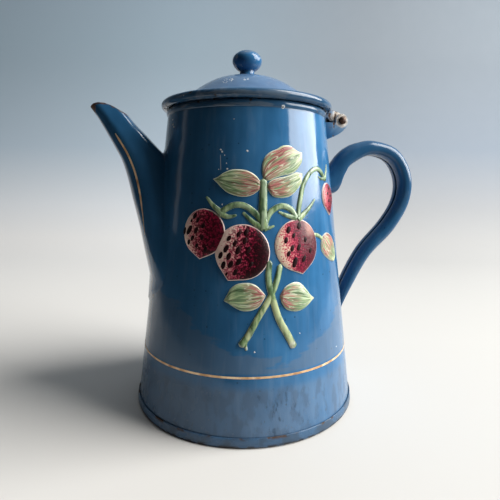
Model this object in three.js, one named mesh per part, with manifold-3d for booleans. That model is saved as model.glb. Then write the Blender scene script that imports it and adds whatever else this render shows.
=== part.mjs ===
// Enamelled steel milk pot: a tapered pot with a beak spout, a hollow ear handle,
// a domed lid on a rear hinge and a fruiting sprig in raised enamel on its front.
// Millimetres, +Z up. The origin is the centre of the underside. The spout points
// to -X, the handle and the hinge are at +X, and the sprig faces -Y.
import * as THREE from 'three';
import { mergeVertices } from 'three/addons/utils/BufferGeometryUtils.js';
import Module from 'manifold-3d';

const wasm = await Module();
wasm.setup();

// Sizes that every piece shares
const gap = 0.3; // left between two pieces that touch
const overrun = 8; // how far a cutter runs past what it cuts
const roundSides = 48; // facets round the pot
const smallSides = 20; // facets round the knob and the pins
const holeSides = 8; // facets round a strainer hole
const bendSteps = 12; // facets on the hinge's rounded ends
const mergeShare = 1e-6; // vertices closer than this share of the pot's height are one

// Pot wall
const potHeight = 207.7; // underside to the top of the rolled rim
const footRadius = 80.6; // outside of the wall where it would meet the underside
const mouthRadius = 55.2; // outside of the wall at the rim's top
const potSheet = 1.3; // steel with its enamel
const rimBand = 4.3; // height of the rolled rim
const rimProud = 1.0; // how far the rolled rim stands out of the wall
const rimSteps = 5;

// Strainer holes in the wall, behind the spout
const strainerHole = 5; // diameter
const strainerPitch = 11;
const strainerFoot = 98; // height of the lowest row
const strainerRows = [3, 2, 3, 2, 3];

// Base pan, whose edge is turned up round the foot of the wall
const floorSheet = 1.3;
const footBand = 6.5; // height of the turned-up edge
const footBandSheet = 0.7;
const footCorner = 1.6;
const footCornerSteps = 3;

// Spout
const spoutReach = 51; // the tip's distance from the wall
const spoutOverRim = 2.2; // the lip's highest point above the rim
const spoutFoot = 76; // height of the root's lowest point
const spoutHalfWidth = 31; // half the width at the root
const spoutSheet = 1.0;
const rootFlange = 2.5; // width of the flange that lies on the wall beside the root
const rootFlangeSheet = 0.6;
const spoutSections = 24;
const spoutSidePoints = 8;

// Handle
const handleReach = 72.5; // the back's greatest distance from the wall
const handleDrop = 15.4; // the top's distance below the rim
const handleFoot = 46; // height of its lowest point
const handleHalfWidth = 9;
const handleSheet = 1.2;
const handleSeam = 1.6; // open seam along the inner side
const handleRings = 34;
const handleSidePoints = 6;

// Hinge
const pinStandoff = 14.8; // the pin's axis from the outside of the mouth
const pinDrop = 2.7; // the pin's axis below the rim's top
const pinRadius = 2.2;
const pinHead = 2.8; // radius of its riveted ends
const pinHeadDepth = 1.2;
const knuckleRadius = 4.1;
const eyeRadius = 4.9; // rounded end of the bracket's two cheeks
const bracketHalfWidth = 8.5;
const bracketSheet = 1.6; // web under the two cheeks
const leafHalfWidth = 4.7; // the lid's knuckle, between the two cheeks
const leafTabHalfWidth = 6.5;

// Lid
const lidOverhang = 4.7; // lid's edge past the outside of the mouth
const lidBead = 5.6; // thickness of the rolled edge
const lidSheet = 1.2;
const domeRise = 19.6; // the dome's top above the foot of its slope
const domeRadius = 49.6; // where its slope starts
const beadOverSlope = 0.6; // the rolled edge's top above the foot of the slope
const rivetHole = 2.3; // radius
const collarDepth = 9.7; // how far the collar reaches down into the mouth
const collarSheet = 1.0;
const collarClearance = 1.0;
const collarFlange = 6; // width of the flange that lies under the lid
const beadSteps = 9;
const domeSteps = 8;

// Knob, its rivet and its washer
const knobRadius = 10.4;
const knobHeight = 17.8; // from the lid to the knob's top
const knobNeck = 5.2; // radius
const knobFoot = 6.6; // radius
const knobUpper = 7.0; // from its widest place up to its top
const knobLower = 8.1; // the ball's half height below its widest place
const knobFootRise = 0.9; // height of the flared foot
const knobSteps = 10;
const rivetRadius = 2.0;
const rivetGrip = 7.5; // how far the rivet's shank stands in the knob
const rivetHead = 4.2; // radius
const rivetHeadDepth = 1.2;
const washerRadius = 7;
const washerDepth = 1.0;

// Sprig in raised enamel
const sprigFootShare = 0.2744; // height of the lower stem ends, in shares of the pot's height
const sprigHeightShare = 0.597; // the sprig's own height, in the same shares
const sprigClearance = 0.45; // left round each patch, seen from the front
const berryThickness = 2.2; // how far each kind stands out of the wall
const leafThickness = 1.2;
const stemThickness = 1.4;
const edgeShare = 0.3; // the steep edge's share of the lift
const ornamentSidePoints = 14;
const stemSteps = 7;

// Surface colours and finishes
const blueEnamel = { color: 0x2f5f8f, roughness: 0.18, metalness: 0 };
const paleEnamel = { color: 0x3b6a97, roughness: 0.2, metalness: 0 };
const wornIron = { color: 0x6a4a35, roughness: 0.6, metalness: 0.5 };
const zincedSteel = { color: 0x8f9396, roughness: 0.45, metalness: 0.8 };
const berryRed = { color: 0xa01f3a, roughness: 0.25, metalness: 0 };
const leafGreen = { color: 0x86ad74, roughness: 0.3, metalness: 0 };
const stemGreen = { color: 0xa3c48c, roughness: 0.3, metalness: 0 };

// Places that several pieces share
const rimFoot = potHeight - rimBand;
const lidRadius = mouthRadius + lidOverhang;
const beadRadius = lidBead / 2;
const beadCentre = lidRadius - beadRadius;
const beadHeight = potHeight + gap + beadRadius;
const slopeHeight = beadHeight + beadRadius - beadOverSlope;
const slopeRadius = lidRadius - lidBead;
const pinX = mouthRadius + pinStandoff;
const pinZ = potHeight - pinDrop;
const sprigFoot = potHeight * sprigFootShare;
const sprigHeight = potHeight * sprigHeightShare;
const sprigRadius = wallRadius(sprigFoot + sprigHeight / 2);

function wallRadius(height) {
  return footRadius + (mouthRadius - footRadius) * height / potHeight;
}

// Shared shape helpers

// A geometry with one vertex at each place and no empty triangles
function closedBody(geometry) {
  geometry.deleteAttribute('normal');
  geometry.deleteAttribute('uv');
  const merged = mergeVertices(geometry, potHeight * mergeShare);
  const corners = merged.index.array;
  const kept = [];
  for (let i = 0; i < corners.length; i += 3) {
    const [a, b, c] = [corners[i], corners[i + 1], corners[i + 2]];
    if (a !== b && b !== c && c !== a) kept.push(a, b, c);
  }
  merged.setIndex(kept);
  return merged;
}

function solidOf(geometry) {
  const vertProperties = new Float32Array(geometry.attributes.position.array);
  const triVerts = new Uint32Array(geometry.index.array);
  return new wasm.Manifold(new wasm.Mesh({ numProp: 3, vertProperties, triVerts }));
}

function geometryOf(solid) {
  const mesh = solid.getMesh();
  const geometry = new THREE.BufferGeometry();
  geometry.setAttribute('position', new THREE.BufferAttribute(mesh.vertProperties, 3));
  geometry.setIndex(new THREE.BufferAttribute(mesh.triVerts, 1));
  return geometry;
}

// The largest connected part of a cut solid
function mainPart(solid) {
  const parts = solid.decompose();
  parts.sort((first, second) => second.volume() - first.volume());
  return parts[0];
}

function joined(solids) {
  return solids.reduce((whole, solid) => whole.add(solid));
}

// Turns a closed outline of [radius, height] round the Z axis. The outline runs
// outward along the bottom, up the outside and back inward along the top.
function turned(outline, sides = roundSides) {
  const profile = [...outline, outline[0]].map(([radius, height]) => new THREE.Vector2(radius, height));
  const lathe = new THREE.LatheGeometry(profile, sides);
  lathe.rotateX(Math.PI / 2);
  return closedBody(lathe);
}

// Skins rings of points that share one section, and closes both ends with it
function loft(rings, section) {
  const count = section.length;
  const positions = rings.flat().flatMap((point) => point.toArray());
  const clockwise = THREE.ShapeUtils.isClockWise(section);
  const triangles = THREE.ShapeUtils.triangulateShape(section, []);
  const caps = clockwise ? triangles.map((corners) => corners.toReversed()) : triangles;
  const last = (rings.length - 1) * count;
  const faces = [];
  for (let ring = 0; ring < rings.length - 1; ring++) {
    for (let side = 0; side < count; side++) {
      const next = (side + 1) % count;
      const [a, b] = [ring * count + side, ring * count + next];
      faces.push(a, b, b + count, a, b + count, a + count);
    }
  }
  for (const [a, b, c] of caps) {
    faces.push(c, b, a);
    faces.push(last + a, last + b, last + c);
  }
  return facingOut(positions, faces);
}

// Builds a geometry and turns its faces round if they point inward
function facingOut(positions, faces) {
  const corner = (index) => new THREE.Vector3().fromArray(positions, index * 3);
  let volume = 0;
  for (let i = 0; i < faces.length; i += 3) {
    const [a, b, c] = [corner(faces[i]), corner(faces[i + 1]), corner(faces[i + 2])];
    volume += a.dot(b.cross(c));
  }
  const geometry = new THREE.BufferGeometry();
  geometry.setAttribute('position', new THREE.Float32BufferAttribute(positions, 3));
  geometry.setIndex(volume < 0 ? [...faces].reverse() : faces);
  return closedBody(geometry);
}

// Smooth values between the rows of a table, column by column
function smoothRows(rows, count) {
  const columns = rows[0].map((_, column) =>
    new THREE.SplineCurve(rows.map((row, index) => new THREE.Vector2(index, row[column]))));
  return Array.from({ length: count + 1 }, (_, step) =>
    columns.map((curve) => curve.getPoint(step / count).y));
}

// Extrudes a side view outline of [x, z] to the same distance on both sides
function sidePlate(outline, halfWidth) {
  const shape = new THREE.Shape(outline.map(([x, z]) => new THREE.Vector2(x, z)));
  const extruded = new THREE.ExtrudeGeometry(shape, { depth: halfWidth * 2, bevelEnabled: false });
  extruded.rotateX(Math.PI / 2);
  extruded.translate(0, halfWidth, 0);
  const plate = closedBody(extruded);
  return solidOf(facingOut([...plate.attributes.position.array], [...plate.index.array]));
}

function arc(centreX, centreZ, radius, fromDegrees, toDegrees, steps) {
  return Array.from({ length: steps + 1 }, (_, step) => {
    const angle = THREE.MathUtils.degToRad(THREE.MathUtils.lerp(fromDegrees, toDegrees, step / steps));
    return [centreX + radius * Math.cos(angle), centreZ + radius * Math.sin(angle)];
  });
}

// A rod along Y, between two distances from the middle plane
function crossRod(radius, from, to, x, z) {
  const rod = new THREE.CylinderGeometry(radius, radius, to - from, smallSides);
  rod.translate(x, (from + to) / 2, z);
  return closedBody(rod);
}

const model = new THREE.Group();

function addPiece(name, geometry, finish) {
  geometry.computeVertexNormals();
  const mesh = new THREE.Mesh(geometry, new THREE.MeshStandardMaterial(finish));
  mesh.name = name;
  model.add(mesh);
}

// Pot wall with its rolled rim

// The rim's outside, from its foot to its top, as [radius, height]
function rimOutside(grow) {
  return Array.from({ length: rimSteps + 1 }, (_, step) => {
    const share = step / rimSteps;
    const height = rimFoot + rimBand * share;
    const bulge = rimProud * Math.sin(Math.PI * share * 0.9);
    return [wallRadius(height) + bulge + grow, height];
  });
}

// Everything inside the wall's outer face, grown by the gap, for cutting neighbours
function potEnvelope(grow) {
  return solidOf(turned([
    [0, -overrun],
    [wallRadius(-overrun) + grow, -overrun],
    ...rimOutside(grow),
    [0, potHeight],
  ]));
}

function strainerHoles() {
  const radius = wallRadius(strainerFoot);
  const holes = strainerRows.flatMap((count, row) =>
    Array.from({ length: count }, (_, column) => {
      const hole = new THREE.CylinderGeometry(strainerHole / 2, strainerHole / 2, radius, holeSides);
      hole.rotateZ(Math.PI / 2);
      const y = (column - (count - 1) / 2) * strainerPitch;
      hole.translate(-radius, y, strainerFoot + row * strainerPitch);
      return solidOf(closedBody(hole));
    }));
  return joined(holes);
}

function bodyShell() {
  const foot = floorSheet + gap;
  const wall = turned([
    [wallRadius(foot) - potSheet, foot],
    [wallRadius(foot), foot],
    ...rimOutside(0),
    [mouthRadius - potSheet, potHeight],
    [wallRadius(rimFoot) - potSheet, rimFoot],
  ]);
  return geometryOf(solidOf(wall).subtract(strainerHoles()));
}

addPiece('body_shell', bodyShell(), blueEnamel);

// Base pan
function basePan() {
  const inner = (height) => wallRadius(height) + gap;
  const outer = (height) => inner(height) + footBandSheet;
  const corner = Math.min(footCorner, footBand / 2);
  const cornerCentre = outer(corner) - corner;
  return turned([
    [0, 0],
    ...arc(cornerCentre, corner, corner, -90, 0, footCornerSteps),
    [outer(footBand), footBand],
    [inner(footBand), footBand],
    [inner(floorSheet), floorSheet],
    [0, floorSheet],
  ]);
}

addPiece('base_pan', basePan(), blueEnamel);

// Spout

// Sections from the root to past the tip. Each row has the front edge's and the
// back edge's distance from the wall and height, as shares of the spout's reach
// and rise, and the half width as a share of the root's.
const spoutSectionShares = [
  [0.004, -0.01, -0.49, -0.01, 0.15],
  [0.01, 0.03, -0.5, 0.03, 0.58],
  [0.018, 0.075, -0.5, 0.075, 0.84],
  [0.026, 0.125, -0.5, 0.125, 0.96],
  [0.075, 0.193, -0.5, 0.193, 1.0],
  [0.135, 0.268, -0.45, 0.27, 0.96],
  [0.238, 0.4, -0.42, 0.41, 0.88],
  [0.358, 0.534, -0.35, 0.56, 0.74],
  [0.455, 0.646, -0.2, 0.68, 0.63],
  [0.54, 0.724, -0.06, 0.742, 0.55],
  [0.617, 0.774, 0.06, 0.784, 0.49],
  [0.719, 0.834, 0.26, 0.856, 0.42],
  [0.82, 0.893, 0.405, 0.905, 0.35],
  [0.9, 0.937, 0.53, 0.955, 0.3],
  [0.965, 0.967, 0.636, 1.001, 0.25],
  [1.02, 0.993, 0.8, 1.04, 0.19],
  [1.08, 1.02, 0.93, 1.07, 0.13],
];
// Upper edge of the open lip, from its rear end to past the tip, in the same shares
const lipShares = [
  [0.49, 0.944],
  [0.616, 0.965],
  [0.716, 0.985],
  [0.817, 0.998],
  [0.896, 1.0],
  [0.959, 0.993],
  [1.01, 0.978],
  [1.1, 0.94],
];
const lipClearShares = [[1.1, 1.2], [0.42, 1.2]];
const spoutRise = potHeight + spoutOverRim - spoutFoot;

// Place in the spout's plane: x and height from shares of its reach and rise
function spoutPlace(reachShare, riseShare) {
  const height = spoutFoot + spoutRise * riseShare;
  return new THREE.Vector3(-wallRadius(height) - spoutReach * reachShare, 0, height);
}

// Half width across a section, from 0 at the front edge to 0 at the back edge
function spoutFullness(share) {
  return Math.sin(Math.PI * share ** 0.75) ** 0.65;
}

function spoutLoft(widen, deepen) {
  const rows = smoothRows(spoutSectionShares, spoutSections);
  const steps = Array.from({ length: spoutSidePoints + 1 }, (_, step) =>
    (1 - Math.cos(Math.PI * step / spoutSidePoints)) / 2);
  const section = [
    ...steps.map((share) => new THREE.Vector2(share, spoutFullness(share))),
    ...steps.slice(1, -1).reverse().map((share) => new THREE.Vector2(share, -spoutFullness(share))),
  ];
  const rings = rows.map(([frontReach, frontRise, backReach, backRise, widthShare]) => {
    const front = spoutPlace(frontReach, frontRise);
    const back = spoutPlace(backReach, backRise);
    const outward = front.clone().sub(back).normalize().multiplyScalar(deepen);
    const width = spoutHalfWidth * widthShare + widen;
    return section.map(({ x: share, y: side }) => {
      const shift = outward.clone().multiplyScalar(1 - 2 * share);
      const point = front.clone().lerp(back, share).add(shift);
      return point.setY(width * side);
    });
  });
  return solidOf(loft(rings, section));
}

function lipCutter() {
  const outline = [...lipShares, ...lipClearShares].map(([reach, rise]) => spoutPlace(reach, rise));
  return sidePlate(outline.map((point) => [point.x, point.z]), spoutHalfWidth);
}

function spout() {
  const tube = spoutLoft(0, 0).subtract(potEnvelope(gap));
  const wallSkin = potEnvelope(gap + rootFlangeSheet).subtract(potEnvelope(gap));
  const flange = wallSkin.intersect(spoutLoft(rootFlange, gap + rootFlangeSheet));
  const channel = spoutLoft(-spoutSheet, -spoutSheet);
  const whole = tube.add(flange).subtract(channel).subtract(lipCutter());
  return geometryOf(mainPart(whole));
}

addPiece('spout', spout(), blueEnamel);

// Handle

// Rings from the upper root to the lower end. Each row has the inner edge's and the
// outer edge's distance from the wall and height, as shares of the handle's reach
// and rise, and the half width as a share of the handle's.
const handleRingShares = [
  [-0.085, 0.718, -0.087, 0.82, 1.05],
  [0.033, 0.719, 0.006, 0.836, 1.05],
  [0.095, 0.725, 0.094, 0.883, 1.03],
  [0.138, 0.745, 0.181, 0.93, 1.02],
  [0.185, 0.8, 0.279, 0.964, 1.0],
  [0.276, 0.862, 0.395, 0.986, 1.0],
  [0.521, 0.92, 0.583, 0.999, 1.0],
  [0.739, 0.893, 0.854, 0.956, 1.0],
  [0.84, 0.803, 0.997, 0.826, 1.0],
  [0.81, 0.696, 0.952, 0.674, 1.0],
  [0.648, 0.58, 0.747, 0.523, 1.0],
  [0.34, 0.425, 0.432, 0.381, 1.0],
  [0.097, 0.24, 0.192, 0.212, 0.97],
  [-0.002, 0.112, 0.048, 0.097, 0.85],
  [-0.06, 0.06, 0.0, 0.035, 0.66],
  [-0.12, 0.02, -0.06, 0.0, 0.45],
];
const handleTop = potHeight - handleDrop;

function handlePlace(reachShare, riseShare) {
  const height = handleFoot + (handleTop - handleFoot) * riseShare;
  return new THREE.Vector3(wallRadius(height) + handleReach * reachShare, 0, height);
}

// Section of the folded strip as [depth share, width share], from one side of the
// seam round the outside to the other, with a flatter inner side
function handleCurve(angle) {
  const depth = -Math.cos(angle);
  const flatter = depth < 0 ? -(Math.abs(depth) ** 0.6) : depth;
  return [flatter, Math.sign(Math.sin(angle)) * Math.abs(Math.sin(angle)) ** 0.85];
}

function handle() {
  const seamAngle = handleSeam / 2 / handleHalfWidth;
  const steps = handleSidePoints * 2;
  const curve = Array.from({ length: steps + 1 }, (_, step) =>
    handleCurve(THREE.MathUtils.lerp(seamAngle, 2 * Math.PI - seamAngle, step / steps)));
  const innerShare = 1 - handleSheet / handleHalfWidth;
  const section = [
    ...curve.map(([depth, width]) => new THREE.Vector2(depth, width)),
    ...curve.toReversed().map(([depth, width]) =>
      new THREE.Vector2(depth, width).multiplyScalar(innerShare)),
  ];
  const rings = smoothRows(handleRingShares, handleRings).map((row) => {
    const inner = handlePlace(row[0], row[1]);
    const outer = handlePlace(row[2], row[3]);
    const centre = inner.clone().lerp(outer, 0.5);
    const halfDepth = outer.clone().sub(centre);
    const depthShare = 1 - handleSheet / halfDepth.length();
    const halfWidth = handleHalfWidth * row[4];
    const widthShare = 1 - handleSheet / halfWidth;
    const skin = curve.map(([depth, width]) =>
      centre.clone().addScaledVector(halfDepth, depth).setY(width * halfWidth));
    const lining = curve.toReversed().map(([depth, width]) =>
      centre.clone().addScaledVector(halfDepth, depth * depthShare).setY(width * halfWidth * widthShare));
    return [...skin, ...lining];
  });
  return geometryOf(mainPart(solidOf(loft(rings, section)).subtract(potEnvelope(gap))));
}

addPiece('handle', handle(), blueEnamel);

// Hinge

// Side outlines as [x, z] from the pin's axis: the bracket's in shares of its eye's radius,
// the leaf's in shares of its knuckle's
const bracketUnderShares = [
  [0.89, -0.66], [0.7, -1.03], [0.22, -1.51], [-0.41, -1.97], [-1.36, -2.44], [-2.27, -2.8],
];
const bracketTopShare = -0.34;
const leafTabShares = [
  [0.08, 1.04], [-0.05, 1.42], [-0.6, 1.65], [-1.3, 1.68], [-2.1, 1.8], [-3, 1.9], [-3.2, 0.85], [-2.35, 0.3],
];
const leafNoseShares = [[-2.05, -0.05], [-1.15, -0.2]];

function fromPin(shares, radius) {
  return shares.map(([x, z]) => [pinX + radius * x, pinZ + radius * z]);
}

function hingeBracket() {
  const insideWall = mouthRadius - overrun;
  const under = fromPin(bracketUnderShares, eyeRadius);
  const lowest = under[under.length - 1][1];
  const top = pinZ + eyeRadius * bracketTopShare;
  const cheeks = sidePlate([
    [insideWall, lowest],
    ...under.toReversed(),
    ...arc(pinX, pinZ, eyeRadius, -20, 200, bendSteps),
    [insideWall, top],
  ], bracketHalfWidth);
  const slot = sidePlate([
    [insideWall, lowest + bracketSheet],
    ...under.toReversed().map(([x, z]) => [x, z + bracketSheet]),
    [pinX + eyeRadius + overrun, pinZ - eyeRadius],
    [pinX + eyeRadius + overrun, pinZ + eyeRadius + overrun],
    [insideWall, pinZ + eyeRadius + overrun],
  ], leafHalfWidth + gap);
  const past = bracketHalfWidth + overrun;
  const bore = solidOf(crossRod(pinRadius + gap, -past, past, pinX, pinZ));
  return geometryOf(mainPart(cheeks.subtract(slot).subtract(bore).subtract(potEnvelope(gap))));
}

function hingePin() {
  const shank = bracketHalfWidth + gap;
  const end = shank + pinHeadDepth;
  const outline = [
    [0, -end],
    [pinHead / 2, -end],
    [pinHead, -shank - pinHeadDepth / 2],
    [pinHead, -shank],
    [pinRadius, -shank],
    [pinRadius, shank],
    [pinHead, shank],
    [pinHead, shank + pinHeadDepth / 2],
    [pinHead / 2, end],
    [0, end],
  ];
  const pin = turned(outline, smallSides);
  pin.rotateX(Math.PI / 2);
  pin.translate(pinX, 0, pinZ);
  return pin;
}

function lidBeadSolid(grow) {
  return solidOf(turned(arc(beadCentre, beadHeight, beadRadius + grow, -90, 270, smallSides).slice(1)));
}

function hingeLeaf() {
  const ring = knuckleRadius - gap / 2;
  const knuckle = solidOf(crossRod(ring, -leafHalfWidth, leafHalfWidth, pinX, pinZ));
  const outline = [
    [pinX, pinZ + ring],
    ...fromPin([...leafTabShares, ...leafNoseShares], knuckleRadius),
    [pinX, pinZ - ring],
  ];
  const arm = sidePlate(outline, leafHalfWidth);
  const tabStart = pinX - eyeRadius - 2 * gap;
  const beyond = tabStart - knuckleRadius - overrun;
  const tabZone = sidePlate([
    [beyond, pinZ - knuckleRadius - overrun],
    [tabStart, pinZ - knuckleRadius - overrun],
    [tabStart, pinZ + knuckleRadius + overrun],
    [beyond, pinZ + knuckleRadius + overrun],
  ], leafTabHalfWidth);
  const tab = sidePlate(outline, leafTabHalfWidth).intersect(tabZone);
  const past = leafHalfWidth + overrun;
  const bore = solidOf(crossRod(pinRadius + gap, -past, past, pinX, pinZ));
  const whole = knuckle.add(arm).add(tab).subtract(bore).subtract(lidBeadSolid(gap));
  return geometryOf(mainPart(whole));
}

addPiece('hinge_bracket', hingeBracket(), paleEnamel);
addPiece('hinge_pin', hingePin(), wornIron);
addPiece('hinge_leaf', hingeLeaf(), paleEnamel);

// Lid

// Radii of the bends in the lid's sheet, from its hole to the foot of its slope
const domeShares = Array.from({ length: domeSteps + 1 }, (_, step) =>
  Math.sin(Math.PI / 2 * step / domeSteps));
const domeBends = [
  rivetHole,
  ...domeShares.slice(1).map((share) => domeRadius * share),
  slopeRadius,
];

// Height of the lid's top face on its smooth curve
function domeCurve(radius) {
  const share = Math.min(radius / domeRadius, 1);
  return slopeHeight + domeRise * (1 - share ** 2.73) ** 1.44;
}

// The same on the flat facets between the bends
function domeHeight(radius) {
  const after = Math.max(1, domeBends.findIndex((bend) => bend >= radius));
  const [from, to] = [domeBends[after - 1], domeBends[after]];
  const along = Math.max(0, (radius - from) / (to - from));
  return THREE.MathUtils.lerp(domeCurve(from), domeCurve(to), along);
}

function lidShell() {
  const places = domeBends;
  const under = places.map((radius) => [radius, domeHeight(radius) - lidSheet]);
  const over = places.map((radius) => [radius, domeHeight(radius)]).reverse();
  const angleAt = (height) => THREE.MathUtils.radToDeg(Math.asin((height - beadHeight) / beadRadius));
  const startAngle = 180 - angleAt(slopeHeight - lidSheet);
  const endAngle = 540 - angleAt(slopeHeight);
  const edge = arc(beadCentre, beadHeight, beadRadius, startAngle, endAngle, beadSteps);
  return turned([...under, ...edge, ...over]);
}

function lidCollar() {
  const outer = mouthRadius - potSheet - collarClearance;
  const inner = outer - collarSheet;
  const flangeEdge = outer - collarFlange;
  const foot = potHeight - collarDepth;
  const seat = (radius) => domeHeight(radius) - lidSheet - gap;
  const bends = domeBends.filter((radius) => radius > flangeEdge);
  const over = [flangeEdge, ...bends.filter((radius) => radius < outer), outer];
  const under = [flangeEdge, ...bends.filter((radius) => radius < inner), inner];
  return turned([
    [inner, foot],
    [outer, foot],
    ...over.map((radius) => [radius, seat(radius)]).reverse(),
    ...under.map((radius) => [radius, seat(radius) - collarSheet]),
  ]);
}

addPiece('lid_shell', lidShell(), blueEnamel);
addPiece('lid_collar', lidCollar(), paleEnamel);

// Knob with its rivet and washer
const knobBase = domeHeight(rivetHole) + gap;
const knobWidest = knobBase + knobHeight - knobUpper;
const underside = domeHeight(washerRadius) - lidSheet;
const washerTop = underside - gap;

function lidKnob() {
  const neckRise = knobLower * Math.sqrt(1 - (knobNeck / knobRadius) ** 2);
  const ball = Array.from({ length: knobSteps + 1 }, (_, step) => {
    const start = -Math.asin(neckRise / knobLower);
    const angle = THREE.MathUtils.lerp(start, Math.PI / 2, step / knobSteps);
    const halfHeight = angle < 0 ? knobLower : knobUpper;
    return [knobRadius * Math.cos(angle), knobWidest + halfHeight * Math.sin(angle)];
  });
  ball[knobSteps] = [0, knobWidest + knobUpper];
  const bore = rivetRadius + gap;
  const boreTop = knobBase + rivetGrip + gap;
  return turned([
    [bore, knobBase],
    [knobFoot, knobBase],
    [(knobFoot + knobNeck) / 2, knobBase + knobFootRise / 3],
    [knobNeck, knobBase + knobFootRise],
    ...ball,
    [0, boreTop],
    [bore, boreTop],
  ], smallSides);
}

function knobRivet() {
  const headTop = washerTop - washerDepth - gap;
  const shankTop = knobBase + rivetGrip;
  return turned([
    [0, headTop - rivetHeadDepth],
    [rivetHead / 2, headTop - rivetHeadDepth],
    [rivetHead, headTop - rivetHeadDepth / 3],
    [rivetHead, headTop],
    [rivetRadius, headTop],
    [rivetRadius, shankTop],
    [0, shankTop],
  ], smallSides);
}

function knobWasher() {
  const hole = rivetRadius + gap;
  return turned([
    [hole, washerTop - washerDepth],
    [washerRadius, washerTop - washerDepth],
    [washerRadius, washerTop],
    [hole, washerTop],
  ], smallSides);
}

addPiece('lid_knob', lidKnob(), blueEnamel);
addPiece('knob_rivet', knobRivet(), zincedSteel);
addPiece('knob_washer', knobWasher(), zincedSteel);

// Sprig in raised enamel. Its outlines are [x, z] in shares of the sprig's height:
// x runs to the right along the wall from the middle of the front, z up from its foot.

function onWall(xShare, zShare, lift) {
  const height = sprigFoot + sprigHeight * zShare;
  const around = sprigHeight * xShare / sprigRadius;
  const radius = wallRadius(height) + gap + lift;
  return new THREE.Vector3(radius * Math.sin(around), -radius * Math.cos(around), height);
}

// A closed patch over an outline: each ring is [shrink share, lift], bottom to top
function reliefPatch(outline, rings) {
  const middle = outline.reduce((sum, [x, z]) => [sum[0] + x, sum[1] + z], [0, 0]);
  const [centreX, centreZ] = middle.map((sum) => sum / outline.length);
  const place = (share, lift) => outline.map(([x, z]) =>
    onWall(centreX + (x - centreX) * share, centreZ + (z - centreZ) * share, lift));
  const points = rings.flatMap(([share, lift]) => place(share, lift));
  const count = outline.length;
  const bottom = points.push(onWall(centreX, centreZ, rings[0][1])) - 1;
  const top = points.push(onWall(centreX, centreZ, rings[rings.length - 1][1])) - 1;
  const faces = [];
  for (let side = 0; side < count; side++) {
    const next = (side + 1) % count;
    for (let ring = 0; ring < rings.length - 1; ring++) {
      const [a, b] = [ring * count + side, ring * count + next];
      faces.push(a, b, b + count, a, b + count, a + count);
    }
    const last = (rings.length - 1) * count;
    faces.push(bottom, next, side);
    faces.push(top, last + side, last + next);
  }
  return solidOf(facingOut(points.flatMap((point) => point.toArray()), faces));
}

function domedPatch(outline, lift) {
  return reliefPatch(outline, [
    [0.5, 0],
    [1, 0],
    [1, lift * edgeShare],
    [0.9, lift * 0.7],
    [0.6, lift * 0.95],
    [0.25, lift],
  ]);
}

// The space over an outline, widened by the gap, that neighbours keep out of
function keepOut(outline) {
  const middle = outline.reduce((sum, [x, z]) => [sum[0] + x, sum[1] + z], [0, 0]);
  const [centreX, centreZ] = middle.map((sum) => sum / outline.length);
  const widened = outline.map(([x, z]) => {
    const distance = Math.hypot(x - centreX, z - centreZ);
    const share = 1 + sprigClearance / (distance * sprigHeight);
    return [centreX + (x - centreX) * share, centreZ + (z - centreZ) * share];
  });
  const ceiling = berryThickness * 2;
  return reliefPatch(widened, [[0.5, -gap], [1, -gap], [1, ceiling], [0.5, ceiling]]);
}

// Round berry with straight sides to its point: centre, radius and the point's length as shares
function berryOutline({ x, z, radius, point, degrees }) {
  const count = ornamentSidePoints * 2;
  const spread = Math.acos(1 / (1 + point));
  return Array.from({ length: count }, (_, step) => {
    const fromPoint = Math.PI * (2 * step / count - 1);
    const reach = radius / Math.cos(Math.max(0, spread - Math.abs(fromPoint)));
    const turn = THREE.MathUtils.degToRad(degrees) + fromPoint;
    return [x + reach * Math.cos(turn), z + reach * Math.sin(turn)];
  });
}

// Pointed leaf from its base to its tip, with half widths on each side at the leaf's places
function leafOutline({ base, tip, left, right }) {
  const [dx, dz] = [tip[0] - base[0], tip[1] - base[1]];
  const length = Math.hypot(dx, dz);
  const edge = (halfWidths, way) => {
    const points = [0, ...halfWidths, 0].map((halfWidth, index) => {
      const share = leafPlaceShares[index];
      const out = way * halfWidth / length;
      return new THREE.Vector2(base[0] + dx * share - dz * out, base[1] + dz * share + dx * out);
    });
    return new THREE.SplineCurve(points).getPoints(ornamentSidePoints);
  };
  const there = edge(right, -1).slice(0, -1);
  const back = edge(left, 1).reverse().slice(0, -1);
  return [...there, ...back].map(({ x, y }) => [x, y]);
}

// Half-round stem along a curve, with a width share at each end
function stemSolid({ path, width, startShare = 1, endShare = 1 }) {
  const curve = new THREE.SplineCurve(path.map(([x, z]) => new THREE.Vector2(x, z)));
  const corners = [[-1, 0], [-0.8, 0.6], [0, 1], [0.8, 0.6], [1, 0]];
  const section = corners.map(([x, y]) => new THREE.Vector2(x, y));
  const rings = Array.from({ length: stemSteps + 1 }, (_, step) => {
    const share = step / stemSteps;
    const place = curve.getPoint(share);
    const along = curve.getTangent(share);
    const size = THREE.MathUtils.lerp(startShare, endShare, share);
    return section.map(({ x, y }) => {
      const side = x * width / 2 * size;
      const lift = y * stemThickness * (1 + size) / 2;
      return onWall(place.x - along.y * side, place.y + along.x * side, lift);
    });
  });
  return solidOf(loft(rings, section));
}

const berryShares = {
  berry_left: { x: -0.329, z: 0.578, radius: 0.116, point: 0.13, degrees: -95 },
  berry_centre: { x: -0.127, z: 0.49, radius: 0.133, point: 0.15, degrees: -115.5 },
  berry_right: { x: 0.16, z: 0.516, radius: 0.128, point: 0.14, degrees: -82 },
  berry_small: { x: 0.448, z: 0.752, radius: 0.074, point: 0.36, degrees: -85 },
};
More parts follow.
